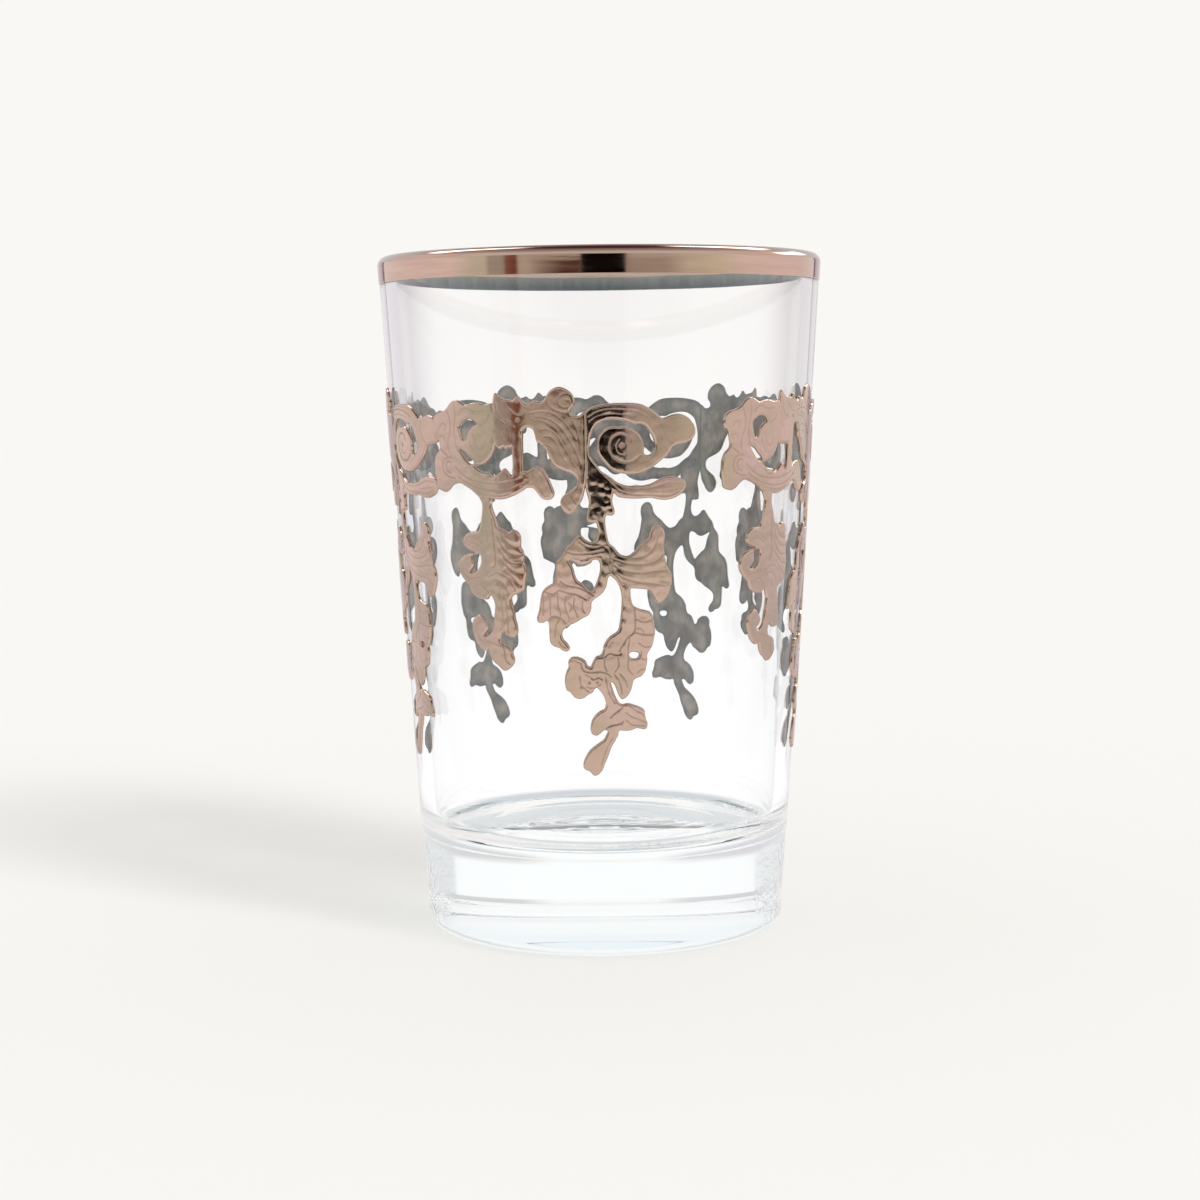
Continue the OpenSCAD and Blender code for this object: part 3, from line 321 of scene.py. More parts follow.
LONG_SPRAY = {
    "edge": [(-1.95, 60.6), (-1.9, 59.2), (-1.55, 57.7), (-1.75, 56.4), (-1.8, 55.35), (-1.3, 55.1),
        (-0.75, 55.1), (-0.55, 54.6), (-0.5, 53.7), (-0.75, 53.05), (-1.3, 52.8), (-2, 53.1), (-2.5, 53.6),
        (-2.9, 53.7), (-3.4, 53.2), (-3.9, 52.6), (-4.5, 52.1), (-4.8, 51.4), (-5.2, 50.9), (-5.7, 50.4),
        (-5.85, 49.6), (-5.9, 48.6), (-6.1, 47.9), (-6.7, 47.5), (-7.4, 47), (-7.8, 46.3), (-8, 45.3),
        (-8.2, 44.3), (-8.5, 43.4), (-8.3, 42.85), (-7.7, 42.8), (-7.1, 43.05), (-6.9, 42.5), (-6.9, 41.5),
        (-6.8, 40.4), (-6.3, 39.9), (-5.6, 39.7), (-5.2, 39.4), (-4.6, 39.3), (-4.25, 39.7), (-4.5, 40.3),
        (-5, 40.8), (-5.2, 41.4), (-5, 42), (-4.3, 42.5), (-3.4, 42.9), (-2.6, 43.4), (-1.8, 43.8),
        (-1.45, 44.5), (-1.4, 45.2), (-1.1, 45.7), (-0.5, 46.1), (0.1, 46.6), (0.5, 47.3), (0.7, 48.2),
        (0.95, 48.6), (1.3, 48.4), (1.8, 47.9), (2.2, 47.1), (2.4, 46.1), (2.4, 45), (2.3, 43.9),
        (2.15, 42.8), (1.9, 41.9), (1.2, 41.4), (0.6, 40.9), (0.1, 40.1), (0, 39.5), (-0.3, 38.95),
        (-0.9, 38.7), (-1.3, 38.1), (-1.6, 37.5), (-2, 37.6), (-2.2, 38.1), (-2.7, 38.5), (-3.4, 38.7),
        (-4.1, 38.6), (-4.5, 38.1), (-4.5, 37.4), (-4.8, 36.8), (-5, 36), (-5, 35.2), (-4.8, 34.5),
        (-4.3, 34.2), (-3.9, 33.7), (-3.3, 33.4), (-2.6, 33.5), (-2, 33.9), (-1.4, 34.2), (-1.1, 34.65),
        (-0.8, 34.75), (-0.3, 34.25), (0.1, 33.6), (0.3, 32.8), (0.1, 32.2), (-0.5, 31.9), (-1.2, 31.3),
        (-1.6, 30.6), (-1.75, 29.8), (-1.6, 29.1), (-1, 28.8), (-0.4, 29.1), (0, 29.45), (0.5, 29.4),
        (0.3, 28.9), (-0.1, 28.3), (-1, 27.7), (-1.9, 27), (-2.5, 26.1), (-2.8, 25.2), (-2.6, 24.6),
        (-1.9, 24.3), (-1.4, 23.8), (-0.8, 23.9), (-0.2, 24.5), (0.1, 25.2), (0.4, 25.8), (0.7, 26.5),
        (1, 27.3), (1.5, 28.1), (1.9, 28.8), (2.1, 29.4), (2.8, 29.35), (3.6, 29.4), (4.4, 29.65),
        (5.2, 29.5), (5.7, 29.6), (5.85, 30.2), (5.65, 30.7), (5.5, 31.3), (5.4, 31.9), (4.9, 32.3),
        (4.1, 32.6), (3.2, 32.85), (2.4, 32.75), (1.95, 33.1), (1.5, 33.9), (1.15, 34.9), (1, 35.5),
        (1.4, 35.2), (1.7, 34.5), (2, 33.8), (2.4, 33.35), (2.9, 33.5), (3.4, 34), (3.75, 34.8),
        (3.9, 35.5), (4.2, 35.85), (4.9, 36.1), (5.4, 36.6), (5.6, 37.2), (5.75, 38), (5.75, 38.8),
        (6, 39.25), (6.35, 39.8), (6.6, 40.7), (6.75, 41.6), (6.65, 42.5), (6.5, 43.4), (6.1, 44.1),
        (5.4, 44.35), (4.6, 44.55), (3.95, 44.9), (3.7, 45.4), (3.55, 46.3), (3.6, 47), (4.2, 47),
        (5.2, 46.9), (6, 46.7), (6.4, 46.2), (6.8, 45.4), (7.2, 45.1), (7.8, 45.4), (8.3, 46), (8.6, 46.6),
        (8.85, 47.4), (8.9, 48.2), (8.7, 48.9), (8.3, 49.6), (8, 50.6), (7.85, 51.5), (7.75, 52.3),
        (7.9, 53.2), (7.8, 54), (7.4, 54.5), (6.9, 54.7), (6.4, 54.6), (6, 54), (5.8, 53.3), (5.3, 52.7),
        (4.6, 52.2), (4, 51.6), (3.3, 51.1), (2.7, 51.1), (2.1, 51.4), (1.5, 52.15), (0.95, 52.6),
        (0.7, 53.4), (0.5, 54.5), (0.45, 55.5), (0.6, 56), (1.2, 55.95), (1.55, 56.2), (1.6, 56.7),
        (1.4, 57.3), (1.35, 58), (1.5, 58.8), (1.5, 59.8), (0.6, 60.8), (-0.8, 61)],
    "holes": [
        [(-4.05, 50.55), (-3.4, 50.3), (-2.6, 50), (-1.9, 50.1), (-1.2, 50.5), (-0.6, 50.6), (-0.3, 50.1),
         (-0.3, 49.2), (-0.6, 48.2), (-1, 47.3), (-1.4, 46.75), (-1.9, 47.2), (-2.5, 47.75), (-3.1, 48.15),
         (-3.4, 48.8), (-3.6, 49.6)],
        [(3.4, 39), (3.9, 39.2), (4.6, 39), (4.45, 38.5), (3.9, 38.4), (3.5, 38.55)]],
    "balls": [(-0.5, 37.75, 0.8, 0.44), (1, 37.7, 1, 0.46), (2.6, 37.6, 1.1, 0.44), (4.2, 37.4, 1.3, 0.46),
        (-3.5, 37, 1.4, 0.44), (-3.6, 35, 1.4, 0.44), (5.6, 42.6, 1.15, 0.42), (5.6, 40.6, 1, 0.42),
        (-0.6, 30.4, 1.2, 0.42), (-1.2, 25.6, 1.2, 0.42), (-6, 40.8, 0.9, 0.4), (-3.1, 52, 1.3, 0.42),
        (7, 53.6, 0.9, 0.4), (7.6, 46.8, 1.1, 0.4), (0.75, 59.5, 0.42, 0.5), (-0.05, 59.9, 0.42, 0.5),
        (-0.95, 60.1, 0.42, 0.5), (0.15, 58.8, 0.42, 0.5), (1, 58.6, 0.42, 0.5), (0.6, 57.9, 0.42, 0.5),
        (1, 57.2, 0.4, 0.5), (0.4, 57.1, 0.4, 0.5), (1.1, 56.5, 0.4, 0.5), (-0.35, 56.6, 0.4, 0.46),
        (-1.4, 59, 0.4, 0.46)],
    "ridges": [
        (0.35, 0.06, [(-1, 59), (-1.1, 57), (-0.4, 55.4), (0, 54), (0.2, 52.4)]),
        (0.45, 0.07, [(2.9, 46.8), (3.1, 44.6), (2.9, 42.6), (1.6, 40.8), (0.8, 39.6)]),
        (0.4, 0.06, [(1.7, 50.7), (3.6, 50.4), (5.6, 50.8), (7, 52.2)]),
        (0.4, 0.06, [(1.8, 49.8), (4, 49.4), (6.2, 49.7), (7.8, 50.2)]),
        (0.4, 0.06, [(1.9, 48.9), (4.2, 48.3), (6.4, 48.2), (8.2, 48.2)]),
        (0.35, 0.06, [(0.6, 50.6), (0.3, 49), (-0.1, 47.4), (-0.9, 46.4)]),
        (0.35, 0.06, [(0.5, 35.6), (0.7, 34.2), (1.1, 33)]),
        (0.4, 0.06, [(1.4, 29), (0.6, 27.8), (-0.4, 26.6), (-1.2, 25.2)]),
        (0.4, 0.06, [(-4.9, 50.4), (-4.8, 48.8), (-4.6, 47.7)])],
    "lines": [
        (0.12, 0.1, [(0.5, 52.5), (-0.8, 52.1), (-2, 52.3), (-2.8, 52.9)]),
        (0.12, 0.1, [(0.2, 51.7), (-1, 51.5), (-2.3, 51.35), (-3.6, 51.4), (-4.4, 51.7)]),
        (0.12, 0.09, [(-0.2, 51.1), (-1.4, 50.85), (-2.4, 50.6)]),
        (0.12, 0.1, [(-0.6, 52.6), (0.2, 52.3), (0.9, 51.7), (1, 50.8)]),
        (0.12, 0.1, [(1.6, 51.6), (3, 50.9), (4.6, 50.8), (5.8, 51.3), (6.6, 52.3), (7, 53.6)]),
        (0.12, 0.09, [(1.5, 50.7), (3.2, 50.1), (5, 49.95), (6.8, 50.4), (7.6, 51.2)]),
        (0.12, 0.09, [(1.4, 50), (2.8, 49.2), (4.8, 48.9), (6.6, 49.1), (8.2, 49.2)]),
        (0.12, 0.09, [(1.6, 49.2), (2.6, 48.4), (4.4, 47.8), (6.2, 47.6), (7.9, 47.3)]),
        (0.11, 0.06, [(3.6, 51), (4.6, 51.6), (5.6, 52.4)]),
        (0.12, 0.1, [(0.5, 50.9), (0.9, 49.8), (0.95, 49)]),
        (0.12, 0.1, [(1.2, 50.4), (1.3, 49.4), (1.9, 48.4), (2.5, 47.4)]),
        (0.13, 0.11, [(-5.2, 48), (-4.4, 47.5), (-3.2, 47.3), (-2.1, 46.9), (-1.1, 46.3)]),
        (0.12, 0.09, [(-7.2, 46.7), (-6.2, 46.4), (-5.4, 46.9), (-4.4, 46.6), (-3.2, 46.4), (-2, 45.8)]),
        (0.12, 0.08, [(-7.4, 46.2), (-7.5, 45), (-7.6, 43.8)]),
        (0.12, 0.09, [(-6.6, 46.2), (-6.6, 45), (-6.6, 43.8)]),
        (0.12, 0.09, [(-5.6, 46.6), (-5.6, 45.2), (-5.3, 43.9), (-5.9, 42.6), (-6.1, 41.2)]),
        (0.12, 0.09, [(-4.6, 46.2), (-4.7, 44.9), (-4.2, 43.5)]),
        (0.12, 0.09, [(-3.5, 46), (-3.6, 44.9), (-3.1, 43.7)]),
        (0.12, 0.08, [(-2.5, 45.6), (-2.5, 44.7), (-2.2, 44.1)]),
        (0.12, 0.08, [(-4.3, 45.4), (-3.9, 45), (-4.1, 44.3)]),
        (0.12, 0.1, [(-6.9, 43.1), (-6.3, 43.7), (-5.2, 43.4), (-4.6, 42.8)]),
        (0.12, 0.08, [(-5.6, 40.6), (-5.2, 40), (-4.7, 39.8)]),
        (0.13, 0.12, [(4, 44.6), (4.1, 43.2), (4, 41.8), (3.1, 41), (2.5, 40.1), (2.1, 39.4)]),
        (0.12, 0.1, [(4.2, 43.3), (5.2, 42.9), (6, 43.1), (6.5, 43.3)]),
        (0.13, 0.12, [(4.2, 41.6), (5, 41.4), (6, 41.3), (6.8, 41.4)]),
        (0.12, 0.11, [(4.6, 40.3), (5.4, 39.8), (6.5, 39.9)]),
        (0.12, 0.08, [(4.4, 42.2), (5, 42), (5.2, 41.5)]),
        (0.12, 0.1, [(4.9, 39.3), (4.9, 38.4), (5.6, 38.2)]),
        (0.12, 0.1, [(4.4, 36.6), (4.9, 37), (5.6, 37)]),
        (0.12, 0.09, [(3.4, 41), (3.2, 39.9), (3.2, 38.9)]),
        (0.12, 0.11, [(-1, 38.6), (-0.1, 38.6), (0.5, 38.9), (0.9, 39.1), (1.8, 38.9), (2.3, 39.1)]),
        (0.12, 0.1, [(0.2, 38.4), (0.2, 37.6), (0.5, 36.9)]),
        (0.12, 0.1, [(1.9, 38.6), (2, 37.6), (1.5, 36.8)]),
        (0.12, 0.09, [(3.2, 38.2), (3.2, 37.2), (3.8, 36.4)]),
        (0.13, 0.12, [(-2.8, 37.9), (-2.5, 37), (-1.5, 36.75), (-0.5, 36.85), (0.5, 36.6), (1, 36.2)]),
        (0.12, 0.1, [(-3, 36.3), (-2.9, 35.3), (-2.3, 34.7), (-1.7, 34.25)]),
        (0.12, 0.08, [(-4.4, 38.1), (-3.7, 38.2), (-2.9, 37.9)]),
        (0.12, 0.09, [(-2.3, 36.5), (-1.7, 36.2), (-1.2, 35.9), (-0.6, 36.1), (-0.1, 35.9)]),
        (0.12, 0.09, [(-2.2, 35), (-1.5, 34.8), (-0.9, 34.95), (-0.3, 35.3)]),
        (0.12, 0.09, [(1.4, 36.5), (2, 35.8), (2.3, 34.8), (2.4, 34)]),
        (0.12, 0.09, [(2.1, 36.6), (2.8, 35.8), (3.1, 34.9)]),
        (0.12, 0.08, [(0.3, 36.2), (0.5, 35), (0.9, 33.8), (1.5, 32.9)]),
        (0.13, 0.12, [(2.5, 32.3), (1.9, 31.95), (1.3, 31.5), (0.9, 31.1)]),
        (0.13, 0.12, [(2.6, 30.6), (1.8, 30.25), (0.9, 30.1), (0.3, 29.7)]),
        (0.12, 0.1, [(3.3, 32.6), (4.1, 32), (4.9, 31.6), (5.3, 31.2)]),
        (0.12, 0.09, [(2.9, 31.7), (3.6, 31.2), (4.6, 30.8), (5.5, 30.4)]),
        (0.12, 0.09, [(2.9, 30.8), (3.6, 30.2), (4.6, 30), (5.4, 30)]),
        (0.11, 0.07, [(1.2, 28.6), (0.4, 27.3), (0, 26.2), (-0.4, 25)])],
    "pits": [(-1.75, 35.5, 0.28, 0.16), (-0.75, 35.5, 0.28, 0.16), (-2.8, 34.95, 0.3, 0.16),
        (0.7, 50.5, 0.5, 0.12), (-1.7, 50.8, 0.35, 0.16), (2.3, 30.3, 0.25, 0.1)],
}

MOTIFS = {
    "cartouche": CARTOUCHE,
    "acanthus_leaf": ACANTHUS,
    "spiral_scroll": SPIRAL,
    "short_spray": SHORT_SPRAY,
    "long_spray": LONG_SPRAY,
}


# Materials
MULTIPLY = {"operation": "MULTIPLY"}
MULTIPLY_ADD = {"operation": "MULTIPLY_ADD"}
SUBTRACT = {"operation": "SUBTRACT"}
COLOURS = {"data_type": "RGBA"}
# The scale of a noise is how many of its cells there are in a metre


def pressed_glass():
    """Pressed soda-lime glass, fire polished: clear, a cold blue where it is
    thick. Chill wrinkles of the mould mark the sides of the heel and the foot,
    and the foot is tinted a little grey: painted shade of the table under it."""
    made, tree = new_material("fire_polished_soda_lime_glass")
    place = node(tree, "TexCoord", {}, {}).outputs["Object"]
    parts = node(tree, "SeparateXYZ", {}, {"Vector": place})
    height = parts.outputs["Z"]
    spread = node(tree, "VectorMath", {"operation": "LENGTH"}, {0: place})
    outward = node(tree, "Math", {"operation": "ABSOLUTE"}, {0: parts.outputs["X"]})
    cornerwise = node(tree, "Math", MULTIPLY_ADD, {0: parts.outputs["Y"], 1: -0.8, 2: parts.outputs["X"]})
    # Where: measured along what, from none, to full, in millimetres, and how much full is
    zones = {}
    for name, measure, none, full, most in (
            ("below the floor", height, 12.6, 11.0, 1.0), ("at the sides", outward, 19.0, 21.0, 1.0),
            ("towards the foot's rim", spread, 15.0, 19.0, 0.7), ("lowest", height, 1.2, 0.5, 1.0),
            ("outer foot", spread, 16.0, 18.0, 1.0), ("low edge", height, 0.95, 0.6, 1.0),
            ("front right", cornerwise, 12.0, 16.0, 1.0)):
        zones[name] = node(tree, "MapRange", {}, {
            "Value": measure, "From Min": none * MM, "From Max": full * MM, "To Max": most})
    flank = node(tree, "Math", MULTIPLY, {0: zones["below the floor"], 1: zones["at the sides"]})
    foot = node(tree, "Math", MULTIPLY, {0: zones["towards the foot's rim"], 1: zones["lowest"]})
    resting = node(tree, "Math", MULTIPLY, {0: zones["outer foot"], 1: zones["low edge"]})
    # Wrinkles about 1.6 mm long
    stretch = node(tree, "Mapping", {}, {"Vector": place, "Scale": (1, 1, 1.8)})
    wrinkle = node(tree, "TexNoise", {}, {
        "Vector": stretch, "Scale": 330, "Detail": 3.0, "Distortion": 1.6})
    marked = node(tree, "Math", {"operation": "MAXIMUM"}, {0: flank, 1: foot})
    wrinkled = node(tree, "Math", MULTIPLY, {0: wrinkle, 1: marked})
    wrinkles = node(tree, "Bump", {}, {"Strength": 1.0, "Distance": 0.10 * MM, "Height": wrinkled})
    # Slow waviness of the pressed wall
    wave = node(tree, "TexNoise", {}, {"Vector": place, "Scale": 80, "Detail": 1.0})
    surface = node(tree, "Bump", {}, {
        "Strength": 1.0, "Distance": 0.02 * MM, "Height": wave, "Normal": wrinkles})
    # Stipple of the mould on the front right of the foot
    stipple = node(tree, "TexNoise", {}, {"Vector": place, "Scale": 1300, "Detail": 1.0})
    dots = node(tree, "MapRange", {}, {"Value": stipple, "From Min": 0.50, "From Max": 0.56})
    dotted = node(tree, "Math", MULTIPLY, {0: dots, 1: zones["front right"]})
    plain = node(tree, "Math", SUBTRACT, {0: 0.94, 1: dotted})
    standing = node(tree, "Math", {"operation": "MULTIPLY", "use_clamp": True}, {0: resting, 1: plain})
    # Inside the foot, which touches the table, nothing is mirrored up the wall
    face = node(tree, "NewGeometry", {}, {})
    from_inside = node(tree, "Math", MULTIPLY, {0: face.outputs["Backfacing"], 1: standing})
    whole = node(tree, "Math", SUBTRACT, {0: 1.0, 1: from_inside})
    # Painted shade: the foot is tinted grey for the table in the glass's shadow, seen through it
    tone = node(tree, "Mix", COLOURS, {"Factor": foot, "A": (1, 1, 1, 1), "B": linear("#F2F4F3")})
    shader = node(tree, "BsdfPrincipled", {}, {
        "Base Color": tone, "Roughness": 0.02, "IOR": 1.51, "Transmission Weight": 1.0, "Normal": surface,
        "Alpha": whole})
    # Light from the lamp and from the floor goes straight through
    light = node(tree, "LightPath", {}, {})
    through = node(tree, "BsdfTransparent", {}, {"Color": linear("#F3F5F5")})
    clear = node(tree, "BsdfTransparent", {}, {"Color": (1, 1, 1, 1)})
    lit = node(tree, "MixShader", {}, {"Fac": light.outputs["Is Shadow Ray"], 1: shader, 2: through})
    both = node(tree, "MixShader", {}, {"Fac": light.outputs["Is Diffuse Ray"], 1: lit, 2: clear})
    thick = node(tree, "VolumeAbsorption", {}, {"Color": (0.26, 0.62, 0.60, 1), "Density": 2.1})
    node(tree, "OutputMaterial", {}, {"Surface": both, "Volume": thick})
    return made


def fired_bright_gold():
    """Bright gold with copper, brushed on the lip and fired: a mirror with
    faint bands round the lip, where the brush went."""
    made, tree = new_material("fired_bright_rose_gold")
    place = node(tree, "TexCoord", {}, {}).outputs["Object"]
    stretch = node(tree, "Mapping", {}, {"Vector": place, "Scale": (1, 1, 14)})
    brush = node(tree, "TexNoise", {}, {"Vector": stretch, "Scale": 110, "Detail": 3.0})
    tone = node(tree, "ValToRGB", {"stops": [(0.3, "#C6A896"), (0.7, "#D2B3A4")]}, {"Fac": brush})
    rough = node(tree, "MapRange", {}, {
        "Value": brush, "From Min": 0.3, "From Max": 0.7, "To Min": 0.05, "To Max": 0.11})
    bump = node(tree, "Bump", {}, {"Strength": 1.0, "Distance": 0.006 * MM, "Height": brush})
    shader = node(tree, "BsdfPrincipled", {}, {
        "Base Color": tone, "Metallic": 1.0, "Roughness": rough, "Normal": bump})
    node(tree, "OutputMaterial", {}, {"Surface": shader})
    return made


def gold_from_behind():
    """The gilding from behind, through the glass: grey, greener at the lip and
    a dark teal at its edge, with fine upright scratches."""
    made, tree = new_material("fired_gold_seen_through_glass")
    place = node(tree, "TexCoord", {}, {}).outputs["Object"]
    parts = node(tree, "SeparateXYZ", {}, {"Vector": place})
    squeeze = node(tree, "Mapping", {}, {"Vector": place, "Scale": (1, 1, 0.12)})
    scratch = node(tree, "TexNoise", {}, {"Vector": squeeze, "Scale": 900, "Detail": 2.0})
    level = node(tree, "MapRange", {}, {
        "Value": parts.outputs["Z"], "From Min": 85.0 * MM, "From Max": 87.4 * MM})
    shaken = node(tree, "Math", MULTIPLY_ADD, {0: scratch, 1: 0.5, 2: level})
    tone = node(tree, "ValToRGB", {
        "stops": [(0.2, "#424D58"), (0.45, "#5C6469"), (0.7, "#828786"), (1.0, "#A9AFA8")]}, {"Fac": shaken})
    shader = node(tree, "BsdfPrincipled", {}, {"Base Color": tone, "Roughness": 0.45})
    node(tree, "OutputMaterial", {}, {"Surface": shader})
    return made


def fired_satin_gold():
    """Rose gold fired on raised enamel paste: satin, pinker and browner in
    patches of some millimetres, brown where the drawing is engraved: partly
    the matt gold there and partly painted shade in the recesses."""
    made, tree = new_material("fired_satin_rose_gold_on_enamel")
    place = node(tree, "TexCoord", {}, {}).outputs["Object"]
    patches = node(tree, "TexNoise", {}, {"Vector": place, "Scale": 210, "Detail": 3.0})
    # Grain of the paste, drawn coarser than the real powder so that it shows
    grain = node(tree, "TexNoise", {}, {"Vector": place, "Scale": 2600, "Detail": 2.0})
    speckled = node(tree, "Math", MULTIPLY_ADD, {0: grain, 1: 0.3, 2: patches})
    tone = node(tree, "ValToRGB", {
        "stops": [(0.48, "#BFA996"), (0.64, "#C7AC9B"), (0.8, "#CFB1A4")]}, {"Fac": speckled})
    hollow = node(tree, "Attribute", {"attribute_name": "hollow"}, {}).outputs["Fac"]
    # Brown in the engraved lines: partly the matt gold there, partly painted shade in the recesses
    engraved_brown_and_shade = node(tree, "Math", MULTIPLY, {0: hollow, 1: 0.45})
    shade = node(tree, "Mix", COLOURS, {"Factor": engraved_brown_and_shade, "A": tone, "B": linear("#86675A")})
    # Burnished ground, matt engraving
    sheen = node(tree, "MapRange", {}, {
        "Value": grain, "From Min": 0.3, "From Max": 0.7, "To Min": 0.07, "To Max": 0.13})
    rough = node(tree, "Math", MULTIPLY_ADD, {0: hollow, 1: 0.38, 2: sheen})
    bump = node(tree, "Bump", {}, {"Strength": 1.0, "Distance": 0.003 * MM, "Height": grain})
    shader = node(tree, "BsdfPrincipled", {}, {
        "Base Color": shade, "Metallic": 1.0, "Roughness": rough, "Normal": bump})
    node(tree, "OutputMaterial", {}, {"Surface": shader})
    return made


def enamel_underside():
    """Underside of the fired enamel paste against the glass: matt, a mottled
    grey brown, dark teal along its edge and under the engraved lines."""
    made, tree = new_material("enamel_paste_underside")
    place = node(tree, "TexCoord", {}, {}).outputs["Object"]
    clouds = node(tree, "TexNoise", {}, {"Vector": place, "Scale": 420, "Detail": 3.0})
    tone = node(tree, "ValToRGB", {
        "stops": [(0.34, "#66615C"), (0.5, "#827A73"), (0.66, "#A0958A")]}, {"Fac": clouds})
    hollow = node(tree, "Attribute", {"attribute_name": "hollow"}, {}).outputs["Fac"]
    shade = node(tree, "Mix", COLOURS, {"Factor": hollow, "A": tone, "B": linear("#48555A")})
    shader = node(tree, "BsdfPrincipled", {}, {"Base Color": shade, "Roughness": 0.5})
    node(tree, "OutputMaterial", {}, {"Surface": shader})
    return made


GLASS = pressed_glass()
BRIGHT_GOLD = fired_bright_gold()
BRIGHT_BEHIND = gold_from_behind()
SATIN_GOLD = fired_satin_gold()
UNDERSIDE = enamel_underside()


# Turned pieces
TURN_STEPS = 256
TURN_SHARP = math.radians(35)


def turned(name, path, material):
    """A piece turned on the axis: a point is extruded along its section and
    spun round, with its pole or seam merged."""
    bpy.ops.object.select_all(action="DESELECT")
    bpy.ops.mesh.primitive_plane_add(size=MM, location=(0, 0, 0))
    piece = bpy.context.object
    piece.name = piece.data.name = name
    bpy.ops.object.mode_set(mode="EDIT")
    bpy.ops.mesh.select_all(action="SELECT")
    bpy.ops.mesh.merge(type="CENTER")
    bpy.ops.transform.translate(value=(path[0][0] * MM, 0, path[0][1] * MM))
    for before, after in zip(path, path[1:]):
        step = ((after[0] - before[0]) * MM, 0, (after[1] - before[1]) * MM)
        bpy.ops.mesh.extrude_region_move(TRANSFORM_OT_translate={"value": step})
    bpy.ops.mesh.select_all(action="SELECT")
    bpy.ops.mesh.spin(steps=TURN_STEPS, angle=2 * math.pi, center=(0, 0, 0), axis=(0, 0, 1))
    bpy.ops.mesh.select_all(action="SELECT")
    bpy.ops.mesh.remove_doubles(threshold=0.0005 * MM)
    bpy.ops.mesh.normals_make_consistent(inside=False)
    bpy.ops.object.mode_set(mode="OBJECT")
    piece.data.materials.append(material)
    alone(piece)
    bpy.ops.object.shade_smooth_by_angle(angle=TURN_SHARP)
    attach(piece, "root")
    return piece


def arc(x, z, r, start, end, steps):
    """Points round a centre, angles in degrees from outwards to up."""
    turns = np.radians(np.linspace(start, end, steps + 1))
    return [(x + r * math.cos(t), z + r * math.sin(t)) for t in turns]


# The floor of the bowl: two shallow steps, each with its radius, drop and
# width, and the faint rings that the plunger leaves
FLOOR_STEPS = [(16.0, 0.22, 1.2), (12.0, 0.13, 0.9)]
RING_H = 0.012
RING_TURNS = 2.4


def floor_z(r):
    rings = RING_H * math.sin(r * RING_TURNS) * ease(r / 3) * ease((FLOOR_STEPS[0][0] - r) / 3)
    return BASE_T - sum(drop * ease((edge - r) / width) for edge, drop, width in FLOOR_STEPS) + rings


# Foot: how far the heel's round turns, radius of the tight turn, rise of the
# cone, and the ring a hair above the table, so that rounding can't put it below
ROUND_TO = 46
TIGHT_R = 0.35
CONE_RISE = 12
FLAT_Z = 0.0002
RING_EDGE = 0.08

lean_deg = math.degrees(LEAN)
heel_corner_x = HEEL_R + HEEL_CORNER_R * WALL_SLOPE - HEEL_CORNER_R / math.cos(LEAN)
floor_corner_z = BASE_T + FLOOR_CORNER_R
floor_corner_x = bore_r(floor_corner_z) - FLOOR_CORNER_R / math.cos(LEAN)
punt_r = heel_corner_x - FOOT_W
punt = [(r, FLAT_Z + PUNT_H * (1 - (r / punt_r) ** 2)) for r in np.linspace(0, punt_r, 24)]
# The ring it stands on runs out in a shallow cone, then turns tightly into
# the round of the heel, where the mould's ring was
heel_corner = arc(heel_corner_x, HEEL_CORNER_R, HEEL_CORNER_R, -ROUND_TO, -lean_deg, 10)
tight_x = heel_corner[0][0] - TIGHT_R * math.cos(math.radians(ROUND_TO))
tight_z = heel_corner[0][1] + TIGHT_R * math.sin(math.radians(ROUND_TO))
tight = arc(tight_x, tight_z, TIGHT_R, CONE_RISE - 90, -ROUND_TO, 7)
ring_r = tight[0][0] - tight[0][1] / math.tan(math.radians(CONE_RISE))
ring = [(punt_r + RING_EDGE, FLAT_Z), (ring_r - RING_EDGE, FLAT_Z), (ring_r, FLAT_Z)]
cone = [(ring_r + (tight[0][0] - ring_r) * t, tight[0][1] * t) for t in (0.04, 0.5, 0.96)]
foot_corner = ring + cone + tight + heel_corner[1:]
# The wall steps out by a hair over the last of the heel
STEP_H = 0.6
heel = [(wall_r(z) - HEEL_STEP, z) for z in np.linspace(2.6, BASE_T - STEP_H, 10)]
step_out = [(wall_r(z) - HEEL_STEP * (1 - ease((z - BASE_T + STEP_H) / STEP_H)), z)
            for z in np.linspace(BASE_T - 0.75 * STEP_H, BASE_T, 4)]
wall_out = [(wall_r(z), z) for z in np.linspace(BASE_T + STEP_H, LIP_Z - 1.0, 24)]
lip = arc(LIP_X, LIP_Z, LIP_R, -lean_deg, 180 - lean_deg, 20)
wall_in = [(bore_r(z), z) for z in np.linspace(LIP_Z - 1.0, floor_corner_z + 1.0, 22)]
floor_corner = arc(floor_corner_x, floor_corner_z, FLOOR_CORNER_R, -lean_deg, -90, 18)
floor_in = [(r, floor_z(r)) for r in np.linspace(floor_corner_x - 0.5, 0, 72)]

glass = turned("glass_pressed", punt + foot_corner + heel + step_out + wall_out + lip + wall_in
               + floor_corner + floor_in, GLASS)
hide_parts("glass_body")

